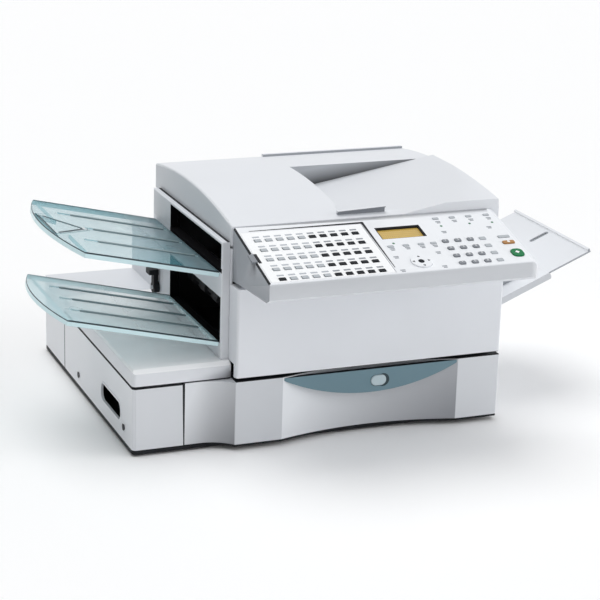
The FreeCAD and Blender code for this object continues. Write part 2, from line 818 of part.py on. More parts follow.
def front_curve():
    # Plan of the cassette front: wing, cove, left block, scoop, right block.
    radius = (cove_start ** 2 + deck_front ** 2) / (2 * deck_front)
    cove_mid_x = cove_start / 2
    cove_mid_y = deck_front - radius + math.sqrt(radius ** 2 - (cove_mid_x - cove_start) ** 2)
    left = cassette_seam + gap
    inner_right = body_width - wall - gap
    back = cassette_plate_back
    inner_y = deck_front - gap
    plan = [(left, deck_front), (cove_start, deck_front), (0, 0), (block_left, 0), (block_right, 0),
            (body_width, 0), (body_width, inner_y), (inner_right, inner_y), (inner_right, back), (left, back)]
    p = [Vector(x, y, 0) for x, y in plan]
    line = Part.LineSegment
    return outline(
        line(p[0], p[1]), Part.Arc(p[1], Vector(cove_mid_x, cove_mid_y, 0), p[2]), line(p[2], p[3]),
        Part.Arc(p[3], Vector((block_left + block_right) / 2, scoop_depth, 0), p[4]), line(p[4], p[5]),
        line(p[5], p[6]), line(p[6], p[7]), line(p[7], p[8]), line(p[8], p[9]), line(p[9], p[0]),
    )


def cassette_front():
    body = front_curve().extrude(Vector(0, 0, cassette_top - cassette_bottom))
    body.translate(Vector(0, 0, cassette_bottom))
    body = round_edges(body, 2.0, lambda e: runs(e, "z") and middle(e).y < 1 and middle(e).x > 1)
    low = cassette_bottom + wall
    high = cassette_top - wall
    rooms = [box(wall + 1, block_left - 1, wall, cassette_plate_back + 1, low, high),
             box(block_right + 1, body_width - wall - 3, wall, cassette_plate_back + 1, low, high)]
    over_wing = box(cassette_seam - 1, 0, -1, cassette_plate_back + 1, deck_top, cassette_top + 1)
    return body.cut(rooms + [over_wing])


def cassette_handle():
    left = block_left + 2
    right = block_right - 2
    mid = (left + right) / 2
    low = handle_top - handle_ends
    bottom = Vector(mid, 0, handle_top - handle_drop)
    face = outline(
        Part.LineSegment(Vector(left, 0, handle_top), Vector(right, 0, handle_top)),
        Part.LineSegment(Vector(right, 0, handle_top), Vector(right, 0, low)),
        Part.Arc(Vector(right, 0, low), bottom, Vector(left, 0, low)),
        Part.LineSegment(Vector(left, 0, low), Vector(left, 0, handle_top)),
    )
    crescent = face.extrude(Vector(0, handle_thick, 0))
    hole = button_shape(gap, -1, handle_thick + 1)
    seat = cassette_front()
    seat.translate(Vector(0, -fit * 2, 0))
    parts = crescent.cut([hole, seat]).Solids
    return max(parts, key=lambda part: part.Volume)


def button_shape(extra, front, back):
    radius = button_height / 2 + extra
    half = (button_length - button_height) / 2
    core = box(button_x - half, button_x + half, front, back, button_z - radius, button_z + radius)
    ends = [rod("y", front, back, button_x + side * half, button_z, radius) for side in (-1, 1)]
    return join([core] + ends)


def latch_button():
    cap = button_shape(0, -1.5, handle_thick + gap)
    collar = button_shape(1.5, handle_thick + gap, handle_thick + gap + 1.5)
    return cap.fuse(collar).removeSplitter()


def cassette_tray():
    left = cassette_seam + 3
    right = body_width - wall - 3
    front = cassette_plate_back
    outer = box(left, right, front, cassette_back, cassette_bottom, tray_wall_top)
    thin = cassette_wall
    room = box(left + thin, right - thin, front + thin, cassette_back - thin, cassette_bottom + thin,
               tray_wall_top + 1)
    bosses = []
    for start in (front + thin - 0.5, cassette_back - thin - 6):
        boss = box(lift_pivot_x - 6, lift_pivot_x + 6, start, start + 6.5, cassette_bottom + 1,
                   lift_pivot_z + 7)
        bosses.append(boss.cut(rod("y", start - 9, start + 9, lift_pivot_x, lift_pivot_z, lift_pin + fit)))
    return join([outer.cut(room)] + bosses)


def lift_plate():
    front = cassette_plate_back + 16
    back = cassette_back - 16
    plate = box(lift_pivot_x, lift_pivot_x + lift_length, front, back, lift_pivot_z - 1, lift_pivot_z + 0.5)
    barrel = rod("y", front, back, lift_pivot_x, lift_pivot_z, 3.0)
    ends = cassette_wall + gap
    pin = rod("y", cassette_plate_back + ends, cassette_back - ends, lift_pivot_x, lift_pivot_z, lift_pin)
    return join([plate, barrel, pin])


def tray_place(root_z, slope):
    # Left trays: modelled flat with x running left from the root, then tipped up.
    tilt = FreeCAD.Rotation(Vector(0, 1, 0), math.degrees(math.atan(slope)))
    return FreeCAD.Placement(Vector(-exit_depth - gap, 0, root_z), tilt)


def paper_tray(root_z, slope, front, back, side, reach, holes):
    mid = (front + back) / 2
    plan = outline(
        Part.LineSegment(Vector(0, front, 0), Vector(-side, front, 0)),
        Part.Arc(Vector(-side, front, 0), Vector(-reach, mid, 0), Vector(-side, back, 0)),
        Part.LineSegment(Vector(-side, back, 0), Vector(0, back, 0)),
        Part.LineSegment(Vector(0, back, 0), Vector(0, front, 0)),
    )
    slab = plan.extrude(Vector(0, 0, -tray_thick))
    room = box(-side + 6, -wall, front + sheet, back - sheet, -tray_thick - 1, -tray_skin)
    ribs = []
    for step in range(1, tray_ribs + 1):
        y = front + (back - front) * step / (tray_ribs + 1)
        ribs.append(box(-side + 18, -8, y - 1.5, y + 1.5, -0.5, tray_rib))
    tray = join([slab.cut(room)] + ribs)
    for hole in holes:
        tray = tray.cut(hole)
    tray.Placement = tray_place(root_z, slope)
    return tray


def flap_outline(grow, heel):
    mid = (flap_front + flap_back) / 2
    side = 2 * grow + heel
    return [(-flap_base - heel, flap_front - side), (-flap_tip + 2 * grow, mid - grow),
            (-flap_tip + 2 * grow, mid + grow), (-flap_base - heel, flap_back + side)]


def document_tray():
    hole = solid_along("z", flap_outline(flap_gap, flap_heel), -tray_thick - 1, tray_rib + 1)
    reach = flap_pin + gap
    axle = rod("y", flap_front - reach, flap_back + reach, -flap_base, flap_axle_z, flap_axle + fit)
    return paper_tray(upper_tray_root_z, upper_tray_slope, upper_tray_front, upper_tray_back, upper_tray_side,
                      upper_tray_reach, [hole, axle])


def print_tray():
    return paper_tray(lower_tray_root_z, lower_tray_slope, lower_tray_front, lower_tray_back, lower_tray_side,
                      lower_tray_reach, [])


def stop_flap():
    plate = solid_along("z", flap_outline(0, 0), -tray_skin, 0)
    pin = rod("y", flap_front - flap_pin, flap_back + flap_pin, -flap_base, flap_axle_z, flap_axle)
    flap = join([plate, pin])
    flap.Placement = tray_place(upper_tray_root_z, upper_tray_slope)
    return flap


bypass_place = FreeCAD.Placement(
    Vector(bypass_hinge_x, 0, bypass_hinge_z), FreeCAD.Rotation(Vector(0, 1, 0), -bypass_angle)
)


def on_bypass(shape):
    shape.Placement = bypass_place
    return shape


def bypass_tray():
    base = box(4, bypass_length, bypass_front, bypass_back, bypass_top - bypass_thick, bypass_top)
    base = round_edges(base, 3.0, lambda e: runs(e, "y") and middle(e).x > bypass_length - 1)
    room = box(12, bypass_length + 1, bypass_front + extension_margin - gap,
               bypass_back - extension_margin + gap, extension_top - extension_thick - gap, extension_top + gap)
    tabs = []
    for start, end in ((bypass_front - 8.5, bypass_front + 10), (bypass_back - 10, bypass_back + 8.5)):
        tabs.append(rod("y", start, end, 0, 0, bypass_pin))
    starts = (bypass_front + 1, bypass_back - 10)
    arms = [box(-2, 6, start, start + 9, -bypass_pin, bypass_pin) for start in starts]
    return on_bypass(join([base.cut(room)] + tabs + arms))


def bypass_extension():
    front = bypass_front + extension_margin
    back = bypass_back - extension_margin
    low = extension_top - extension_thick
    plate = box(extension_inner, bypass_reach, front, back, low, extension_top)
    lip = box(bypass_reach - 4, bypass_reach, front, back, low, extension_lip)
    mid = (front + back) / 2
    slot_end = bypass_reach - 10
    half = extension_slot_width / 2
    slot = box(slot_end - extension_slot, slot_end, mid - half, mid + half, low - 1, extension_top + 1)
    return on_bypass(join([plate, lip]).cut(slot))


def bypass_guide(at_front):
    low = bypass_top + 0.3
    end = guide_start + guide_length
    if at_front:
        outer = bypass_front + guide_margin
        fin = box(guide_start, end, outer, outer + sheet, low, low + guide_height)
        foot = box(guide_start, end, outer, outer + guide_foot, low, low + 1.6)
    else:
        outer = bypass_back - guide_margin
        fin = box(guide_start, end, outer - sheet, outer, low, low + guide_height)
        foot = box(guide_start, end, outer - guide_foot, outer, low, low + 1.6)
    return on_bypass(join([fin, foot]))


fuser_pitch = gear_module * fuser_teeth / 2
exit_pitch = gear_module * exit_teeth / 2
pinion_pitch = gear_module * pinion_teeth / 2
exit_x = heat_x + (fuser_pitch + exit_pitch) * math.cos(math.radians(exit_direction))
exit_z = heat_z + (fuser_pitch + exit_pitch) * math.sin(math.radians(exit_direction))
motor_x = heat_x + (fuser_pitch + pinion_pitch) * math.cos(math.radians(motor_direction))
motor_z = heat_z + (fuser_pitch + pinion_pitch) * math.sin(math.radians(motor_direction))
press_z = heat_z - 2 * heat_radius - 0.4


def gear(teeth, x, z, tooth_angle, bore):
    # Involute spur gear lying across Y, one tooth centred at tooth_angle.
    pressure = math.radians(25)
    pitch = gear_module * teeth / 2
    base = pitch * math.cos(pressure)
    tip = pitch + 0.8 * gear_module
    root = pitch - 1.0 * gear_module
    half = math.pi / (2 * teeth) - 0.06 * gear_module / pitch
    at_pitch = math.tan(pressure) - pressure
    points = []
    for tooth in range(teeth):
        centre = math.radians(tooth_angle) + 2 * math.pi * tooth / teeth
        side = []
        for step in range(6):
            radius = max(base, root) + (tip - max(base, root)) * step / 5
            roll = math.acos(base / radius)
            side.append((radius, half + at_pitch - (math.tan(roll) - roll)))
        points.append((root, centre - side[0][1]))
        points += [(radius, centre - angle) for radius, angle in side]
        points += [(radius, centre + angle) for radius, angle in reversed(side)]
        points.append((root, centre + side[0][1]))
    rim = [(x + radius * math.cos(angle), z + radius * math.sin(angle)) for radius, angle in points]
    body = solid_along("y", rim, gear_front, gear_front + gear_width)
    return body.cut(rod("y", gear_front - 1, gear_front + gear_width + 1, x, z, bore)) if bore else body


def phase(direction, teeth, start):
    # Share of a tooth by which the pattern is turned at that direction.
    return ((direction - start) * teeth / 360.0) % 1.0


def fuser_gear():
    return gear(fuser_teeth, heat_x, heat_z, motor_direction, shaft_radius + 0.02)


def motor_pinion():
    turn = motor_direction + 180 + 0.5 * 360.0 / pinion_teeth
    wheel = gear(pinion_teeth, motor_x, motor_z, turn, 0)
    shaft = rod("y", gear_front, gear_front + gear_width + 16, motor_x, motor_z, 2.5)
    return join([wheel, shaft])


def exit_gear():
    ahead = phase(exit_direction, fuser_teeth, motor_direction)
    turn = exit_direction + 180 + (0.5 + ahead) * 360.0 / exit_teeth
    return gear(exit_teeth, exit_x, exit_z, turn, 0)


def drive_motor():
    front = gear_front + gear_width + 4
    can = rod("y", front, front + motor_length, motor_x, motor_z, motor_radius)
    return can.cut(rod("y", front - 1, front + 14, motor_x, motor_z, 2.5 + fit))


def shaft(x, z, back):
    return rod("y", plate_front - 4, back, x, z, shaft_radius)


def full_roller(x, z, radius, back):
    barrel = rod("y", plate_front + 6, plate_back - 6, x, z, radius)
    return join([shaft(x, z, back), barrel])


def split_roller(x, z, radius, back, count):
    tyres = []
    first = plate_front + 34
    last = plate_back - 58
    for step in range(count):
        y = first + (last - first) * step / (count - 1)
        tyres.append(rod("y", y, y + 24, x, z, radius))
    return join([shaft(x, z, back)] + tyres)


def print_exit_roller():
    return join([split_roller(exit_x, exit_z, exit_radius, gear_front + gear_width + 1, 4), exit_gear()])


def engine_frame():
    left = wall + gap
    right = body_width - wall - gap
    base = box(left, right, cheek_depth + gap, body_depth - gap, cover_bottom, cover_bottom + sheet)
    base = base.cut(box(pickup_x - pickup_room, pickup_x + pickup_room, plate_front + 3, plate_back - 3,
                        cover_bottom - 1, cover_bottom + 3))
    plates = []
    for y in (plate_front, plate_back):
        plates.append(box(left, right, y - sheet, y, cover_bottom, plate_top))
    door_way = box(cartridge_left - 6, cartridge_right + 6, plate_front - 3, plate_front + 1,
                   cartridge_bottom - 8, cartridge_top + 8)
    bores = []
    for x, z in shaft_spots():
        bores.append(rod("y", plate_front - 3, plate_back + 1, x, z, shaft_radius + fit))
    rails = []
    for x in (cartridge_left + 10, cartridge_right - 20):
        rails.append(box(x, x + 10, plate_front, plate_back - 1, cover_bottom + 1, cartridge_bottom - 0.3))
    posts = []
    for turn in (motor_direction, motor_direction - 100, motor_direction + 100):
        x = motor_x + (motor_radius - 3) * math.cos(math.radians(turn))
        z = motor_z + (motor_radius - 3) * math.sin(math.radians(turn))
        posts.append(rod("y", plate_back - 1, gear_front + gear_width + 4, x, z, 2.5))
    hinges = []
    near = wall + 2 * gap
    low = door_hinge_z - 1.3
    step = ear_width + gap
    for start, inner in ((door_ear, door_ear + step),
                         (body_width - door_ear - ear_width, body_width - door_ear - ear_width - step)):
        end = inner + ear_width
        hinges.append(box(inner, end, door_hinge_y + 5, cheek_depth + 2, cover_bottom, low + 2))
        hinges.append(box(inner, end, near, door_hinge_y + 7, low, door_hinge_z + 4))
        hinges.append(rod("x", min(start, inner), max(start, inner) + ear_width, door_hinge_y, door_hinge_z,
                          door_pin))
    return join([base] + [plates[0].cut(door_way), plates[1]] + rails + posts + hinges).cut(bores)


def shaft_spots():
    return [(heat_x, heat_z), (heat_x, press_z), (exit_x, exit_z), (pickup_x, pickup_z), (feed_x, feed_z)]


def toner_cartridge():
    low = cartridge_bottom
    high = cartridge_top
    profile = [(cartridge_left, low + 34), (cartridge_left + 22, low), (cartridge_right - 6, low),
               (cartridge_right, low + 10), (cartridge_right, high - 16), (cartridge_right - 18, high),
               (cartridge_left + 30, high), (cartridge_left, high - 26)]
    body = solid_along("y", profile, plate_front - 2, plate_back - 6)
    mid = (cartridge_left + cartridge_right) / 2
    pull = box(mid - 26, mid + 26, plate_front - 16, plate_front - 1.5, low + 40, low + 62)
    grip = box(mid - 20, mid + 20, plate_front - 12, plate_front - 2, low + 36, low + 57)
    return join([body, pull.cut(grip)])


def rubber_feet():
    left = deck_left + foot_inset
    right = body_width - foot_inset
    front = deck_front + foot_inset
    back = machine_depth - foot_inset
    centre = ((left + right) / 2, (front + back) / 2)
    spots = [(left, front), (left, back), (right, front), (right, back), centre]
    return Part.makeCompound([rod("z", 0, foot_height, x, y, foot_radius) for x, y in spots])


def cover_screws():
    heads = []
    for y, z in screw_spots:
        head = rod("x", deck_left - 1.4, deck_left, y, z, screw_radius)
        cross = [box(deck_left - 2, deck_left - 0.8, y - 2.6, y + 2.6, z - 0.5, z + 0.5),
                 box(deck_left - 2, deck_left - 0.8, y - 0.5, y + 0.5, z - 2.6, z + 2.6)]
        heads.append(head.cut(cross))
    return Part.makeCompound(heads)


def build():
    nodes = {
        "deck_frame": deck_frame(),
        "deck_lid": deck_lid(),
        "rear_housing": rear_housing(),
        "rear_sockets": rear_sockets(),
        "main_board": main_board(),
        "left_side_cover": left_side_cover(),
        "right_side_cover": right_side_cover(),
        "exit_frame": exit_frame(),
        "release_lever": release_lever(),
        "front_door": front_door(),
        "document_lid": document_lid(),
        "scanner_deck": scanner_deck(),
        "scan_glass": scan_glass(),
        "control_panel": control_panel(),
        "panel_underside": panel_underside(),
        "display_module": display_module(),
        "display_screen": display_screen(),
        "menu_keys": menu_keys(),
        "navigation_pad": navigation_pad(),
        "one_touch_leaf": one_touch_leaf(),
        "one_touch_keys_light": touch_keys(0, touch_light_columns),
        "one_touch_keys_dark": touch_keys(touch_light_columns, touch_columns),
        "cassette_front": cassette_front(),
        "cassette_handle": cassette_handle(),
        "cassette_button": latch_button(),
        "cassette_tray": cassette_tray(),
        "lift_plate": lift_plate(),
        "document_tray": document_tray(),
        "document_stop": stop_flap(),
        "print_tray": print_tray(),
        "bypass_tray": bypass_tray(),
        "bypass_extension": bypass_extension(),
        "bypass_guide_front": bypass_guide(True),
        "bypass_guide_rear": bypass_guide(False),
        "engine_frame": engine_frame(),
        "heat_roller": full_roller(heat_x, heat_z, heat_radius, gear_front + gear_width + 1),
        "pressure_roller": full_roller(heat_x, press_z, heat_radius, plate_back + 3),
        "print_exit_roller": print_exit_roller(),
        "pickup_roller": split_roller(pickup_x, pickup_z, pickup_radius, plate_back + 3, 3),
        "document_feed_roller": split_roller(feed_x, feed_z, feed_radius, plate_back + 3, 3),
        "fuser_gear": fuser_gear(),
        "motor_pinion": motor_pinion(),
        "drive_motor": drive_motor(),
        "toner_cartridge": toner_cartridge(),
        "rubber_feet": rubber_feet(),
        "cover_screws": cover_screws(),
    }
    for name, u, v, length, width, corner in key_spots():
        nodes[name] = press_key(u, v, length, width, corner)
    return nodes


def origin_shift(nodes):
    # The part's origin is under the middle of the whole machine, on the table.
    whole = Part.makeCompound(list(nodes.values())).optimalBoundingBox(False)
    return Vector(-(whole.XMin + whole.XMax) / 2, -(whole.YMin + whole.YMax) / 2, 0)


def main():
    os.makedirs("parts", exist_ok=True)
    nodes = build()
    shift = origin_shift(nodes)
    for name, shape in nodes.items():
        moved = shape.copy()
        moved.translate(shift)
        moved.exportStep("parts/" + name + ".step")


main()
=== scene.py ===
import bmesh
import bpy
import json
import math
from mathutils import Matrix, Vector


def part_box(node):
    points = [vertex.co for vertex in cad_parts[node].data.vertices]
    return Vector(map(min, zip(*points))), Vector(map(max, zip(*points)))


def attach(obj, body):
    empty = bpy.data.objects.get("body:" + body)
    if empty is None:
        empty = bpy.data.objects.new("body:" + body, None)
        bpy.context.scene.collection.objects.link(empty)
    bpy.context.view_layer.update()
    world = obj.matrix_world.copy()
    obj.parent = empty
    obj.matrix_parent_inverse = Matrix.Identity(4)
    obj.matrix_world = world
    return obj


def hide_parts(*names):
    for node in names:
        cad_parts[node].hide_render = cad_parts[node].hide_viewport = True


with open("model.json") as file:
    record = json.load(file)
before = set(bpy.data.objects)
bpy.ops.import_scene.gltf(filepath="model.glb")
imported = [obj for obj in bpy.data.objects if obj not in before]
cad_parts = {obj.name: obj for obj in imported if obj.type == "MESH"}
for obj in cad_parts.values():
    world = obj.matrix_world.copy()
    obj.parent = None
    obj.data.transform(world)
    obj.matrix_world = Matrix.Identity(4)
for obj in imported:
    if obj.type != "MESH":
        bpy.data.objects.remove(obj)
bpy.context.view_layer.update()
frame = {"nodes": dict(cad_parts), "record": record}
record = frame["record"]
print("frame loaded:", len(frame["nodes"]), "nodes")

mm = 0.001
bodyCorner = Vector((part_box("document_lid")[0].x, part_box("front_door")[0].y, 0.0))
panelSlope = math.radians(15.43)
panelFoot = Vector((0, -114, 277.8))


def spot(x, y, z):
    # millimetres from the body's left front corner to a point in the part's frame
    return bodyCorner + Vector((x, y, z)) * mm


def bodySpot(point):
    return (point - bodyCorner) / mm


panelPlace = Matrix.Translation(spot(*panelFoot)) @ Matrix.Rotation(panelSlope, 4, "X")
panelBack = panelPlace.inverted()


def panelSpot(point):
    # across, up the slope and above the control panel, in millimetres
    return (panelBack @ point) / mm


# camera

cameraSet = {
    "place": spot(-852.5, -2305.3, 1003.8),
    "yaw": -22.276,
    "pitch": 17.581,
    "roll": 1.784,
    "lens": 113.1,
}


def makeCamera(look):
    yaw, pitch, roll = (math.radians(look[key]) for key in ("yaw", "pitch", "roll"))
    back = Vector((math.sin(yaw) * math.cos(pitch), -math.cos(yaw) * math.cos(pitch), math.sin(pitch)))
    flat = Vector((math.cos(yaw), math.sin(yaw), 0.0))
    rise = back.cross(flat)
    right = flat * math.cos(roll) + rise * math.sin(roll)
    up = rise * math.cos(roll) - flat * math.sin(roll)
    data = bpy.data.cameras.new("photoCamera")
    data.lens = look["lens"]
    data.sensor_width = 36.0
    data.clip_end = 50.0
    camera = bpy.data.objects.new("photoCamera", data)
    turn = Matrix((right, up, back)).transposed().to_4x4()
    camera.matrix_world = Matrix.Translation(look["place"]) @ turn
    bpy.context.scene.collection.objects.link(camera)
    bpy.context.scene.camera = camera


makeCamera(cameraSet)

# light, floor and backdrop

lightSet = {
    "lamps": {
        "studioKey": {"from": (-0.16, 0.26, 0.95), "strength": 1.45, "size": math.radians(45)},
        "studioSide": {"from": (0.92, -0.36, 0.17), "strength": 1.1, "size": math.radians(30)},
    },
    "skyFrom": (0.45, -0.50, 0.74),
    "skyBase": 0.20,
    "skyLift": 0.58,
    "skyColour": (0.975, 0.985, 1.0, 1.0),
}


def makeLight(look):
    # a wide overhead lamp and a low side lamp in a room that is brightest above, in front and to the right
    scene = bpy.context.scene
    scene.view_settings.view_transform = "Standard"
    for name, lampLook in look["lamps"].items():
        data = bpy.data.lights.new(name, "SUN")
        data.energy = lampLook["strength"]
        data.angle = lampLook["size"]
        lamp = bpy.data.objects.new(name, data)
        lamp.rotation_euler = Vector(lampLook["from"]).to_track_quat("Z", "Y").to_euler()
        scene.collection.objects.link(lamp)
    world = bpy.data.worlds.new("studioSky")
    scene.world = world
    world.use_nodes = True
    tree = world.node_tree
    tree.nodes.clear()
    link = tree.links.new
    way = tree.nodes.new("ShaderNodeTexCoord")
    side = tree.nodes.new("ShaderNodeVectorMath")
    side.operation = "DOT_PRODUCT"
    side.inputs[1].default_value = Vector(look["skyFrom"]).normalized()
    level = tree.nodes.new("ShaderNodeMapRange")
    level.inputs["From Min"].default_value = 0.0
    level.inputs["From Max"].default_value = 1.0
    level.inputs["To Min"].default_value = look["skyBase"]
    level.inputs["To Max"].default_value = look["skyBase"] + look["skyLift"]
    sky = tree.nodes.new("ShaderNodeBackground")
    sky.inputs["Color"].default_value = look["skyColour"]
    white = tree.nodes.new("ShaderNodeBackground")
    white.inputs["Color"].default_value = (1, 1, 1, 1)
    path = tree.nodes.new("ShaderNodeLightPath")
    seen = tree.nodes.new("ShaderNodeMath")
    seen.operation = "MAXIMUM"
    through = tree.nodes.new("ShaderNodeMath")
    through.operation = "MAXIMUM"
    mix = tree.nodes.new("ShaderNodeMixShader")
    out = tree.nodes.new("ShaderNodeOutputWorld")
    link(way.outputs["Generated"], side.inputs[0])
    link(side.outputs["Value"], level.inputs["Value"])
    link(level.outputs["Result"], sky.inputs["Strength"])
    link(path.outputs["Is Camera Ray"], seen.inputs[0])
    link(path.outputs["Is Glossy Ray"], seen.inputs[1])
    link(seen.outputs[0], through.inputs[0])
    link(path.outputs["Is Transmission Ray"], through.inputs[1])
    link(through.outputs[0], mix.inputs[0])
    link(sky.outputs[0], mix.inputs[1])
    link(white.outputs[0], mix.inputs[2])
    link(mix.outputs[0], out.inputs[0])


makeLight(lightSet)

floorSet = {"half": 6.0, "colour": (0.985, 0.985, 0.985, 1.0), "roughness": 0.9}


def makeFloor(look):
    shape = bmesh.new()
    bmesh.ops.create_grid(shape, x_segments=1, y_segments=1, size=look["half"])
    mesh = bpy.data.meshes.new("studioFloor")
    shape.to_mesh(mesh)
    shape.free()
    floor = bpy.data.objects.new("studioFloor", mesh)
    bpy.context.scene.collection.objects.link(floor)
    finish = bpy.data.materials.new("studioFloor")
    finish.use_nodes = True
    shader = finish.node_tree.nodes["Principled BSDF"]
    shader.inputs["Base Color"].default_value = look["colour"]
    shader.inputs["Roughness"].default_value = look["roughness"]
    mesh.materials.append(finish)


makeFloor(floorSet)
print("camera, light and floor set")

# finishes

plasticSet = {
    "housingGrey": {"colour": (0.755, 0.775, 0.81), "rough": 0.46, "grain": 900, "bump": 0.05, "stain": 0.03},
    "trayGrey": {"colour": (0.78, 0.80, 0.83), "rough": 0.42, "grain": 800, "bump": 0.04, "stain": 0.03},
    # darker grey of the cassette's front, also painted as shade on the panel's front lip and the side tray's
    # front face
    "cassetteAndShadeGrey": {"colour": (0.60, 0.62, 0.65), "rough": 0.46, "grain": 900, "bump": 0.05, "stain": 0.03},
    # dark teal of the trays' ribs, painted shade standing for the shadows along them
    "ribShadeTeal": {"colour": (0.20, 0.27, 0.29), "rough": 0.50, "grain": 500, "bump": 0.02, "stain": 0.08},
    # bright aqua painted on the trays' rims as a painted highlight
    "rimHighlightAqua": {"colour": (0.66, 0.86, 0.90), "rough": 0.25, "grain": 500, "bump": 0.02, "stain": 0.03},
    # near black painted as shade along the trays' outlines, on the flap's bevels and edges and in the
    # crescent beside the cassette's button
    "edgeShadeTeal": {
        "colour": (0.04, 0.06, 0.07),
        "rough": 0.5, "grain": 500, "bump": 0.02, "stain": 0.1, "shine": 0.2,
    },
    # dark grey painted as shade on faces turned from the light: the panel's left end and back edge, the lid's
    # ridge and the side tray's front faces and guides
    "shadeGrey": {"colour": (0.36, 0.38, 0.41), "rough": 0.50, "grain": 900, "bump": 0.05, "stain": 0.04},
    # mid grey painted as light and shade: darker on the deck's front, the lid's left end and the exit frame's
    # outer faces, paler on the cassette's right end
    "lightAndShadeGrey": {"colour": (0.68, 0.70, 0.73), "rough": 0.46, "grain": 900, "bump": 0.05, "stain": 0.03},
    # printed captions in grey, also painted as shade on the rim of the side tray's finger slot
    "printAndShadeGrey": {"colour": (0.28, 0.30, 0.33), "rough": 0.55, "grain": 2000, "bump": 0.03, "stain": 0.06},
    "printPale": {"colour": (0.45, 0.48, 0.52), "rough": 0.55, "grain": 2000, "bump": 0.03, "stain": 0.05},
    # printed numerals and key marks in white, also a painted highlight on the tip of the flap in the upper
    # tray
    "printAndHighlightWhite": {"colour": (0.86, 0.87, 0.88), "rough": 0.50, "grain": 2000, "bump": 0.03, "stain": 0.03},
    "handleTeal": {"colour": (0.135, 0.23, 0.275), "rough": 0.45, "grain": 800, "bump": 0.06, "stain": 0.05},
    # pale grey of the panel's slope and navigation pad, also painted light on the left ends of the deck and
    # the rear housing
    "panelAndLitPale": {"colour": (0.84, 0.86, 0.89), "rough": 0.46, "grain": 900, "bump": 0.05, "stain": 0.02},
    # near white painted as light on faces left in shade: the deck lid's top under the trays and the inner
    # face of the side tray's lip
    "paintedLightPale": {"colour": (0.96, 0.965, 0.975), "rough": 0.46, "grain": 900, "bump": 0.05, "stain": 0.02},
    "leafWhite": {"colour": (0.93, 0.94, 0.95), "rough": 0.50, "grain": 1200, "bump": 0.03, "stain": 0.03},
    "keysLight": {"colour": (0.44, 0.47, 0.50), "rough": 0.55, "grain": 1500, "bump": 0.05, "stain": 0.05},
    "keysDark": {
        "colour": (0.014, 0.016, 0.020),
        "rough": 0.6, "grain": 1500, "bump": 0.05, "stain": 0.1, "shine": 0.12,
    },
    # dark grey of the dial keys, also painted as shade on the lift lip, beside the rear housing's seam and on
    # the leaf's left edge
    "dialAndShadeGrey": {"colour": (0.21, 0.225, 0.25), "rough": 0.50, "grain": 1500, "bump": 0.05, "stain": 0.06},
    "buttonTeal": {"colour": (0.46, 0.56, 0.60), "rough": 0.40, "grain": 1200, "bump": 0.04, "stain": 0.05},
    "lampGreen": {"colour": (0.10, 0.24, 0.15), "rough": 0.20, "grain": 600, "bump": 0.01, "stain": 0.1},
    "startGreen": {
        "colour": (0.004, 0.17, 0.055),
        "rough": 0.45, "grain": 1500, "bump": 0.04, "stain": 0.08, "shine": 0.2,
    },
    "stopAmber": {"colour": (0.40, 0.18, 0.04), "rough": 0.40, "grain": 1500, "bump": 0.04, "stain": 0.08},
    # black of the black plastic parts, also painted as shade in the seams, at the machine's foot, in the
    # screen's window, round the screws and in the side tray's slot
    "blackPlasticAndShade": {
        "colour": (0.014, 0.015, 0.018),
        "rough": 0.5, "grain": 900, "bump": 0.06, "stain": 0.2, "shine": 0.15,
    },
    # flat black painted as the shade inside the paper slots and on the strip below the upper slot
    "slotShadeBlack": {
        "colour": (0.006, 0.006, 0.007),
        "rough": 0.8, "grain": 900, "bump": 0.06, "stain": 0.2, "shine": 0.02,
    },
    "innerGrey": {"colour": (0.30, 0.32, 0.35), "rough": 0.55, "grain": 700, "bump": 0.05, "stain": 0.06},
    "rollerRubber": {"colour": (0.03, 0.03, 0.033), "rough": 0.75, "grain": 1600, "bump": 0.15, "stain": 0.2},
    "gearWhite": {"colour": (0.74, 0.74, 0.70), "rough": 0.38, "grain": 700, "bump": 0.02, "stain": 0.05},
    "boardGreen": {"colour": (0.015, 0.10, 0.035), "rough": 0.35, "grain": 300, "bump": 0.05, "stain": 0.25},
    "feetRubber": {"colour": (0.02, 0.02, 0.021), "rough": 0.8, "grain": 1200, "bump": 0.12, "stain": 0.2},
    "frameBlack": {"colour": (0.012, 0.012, 0.014), "rough": 0.6, "grain": 600, "bump": 0.08, "stain": 0.2},
}


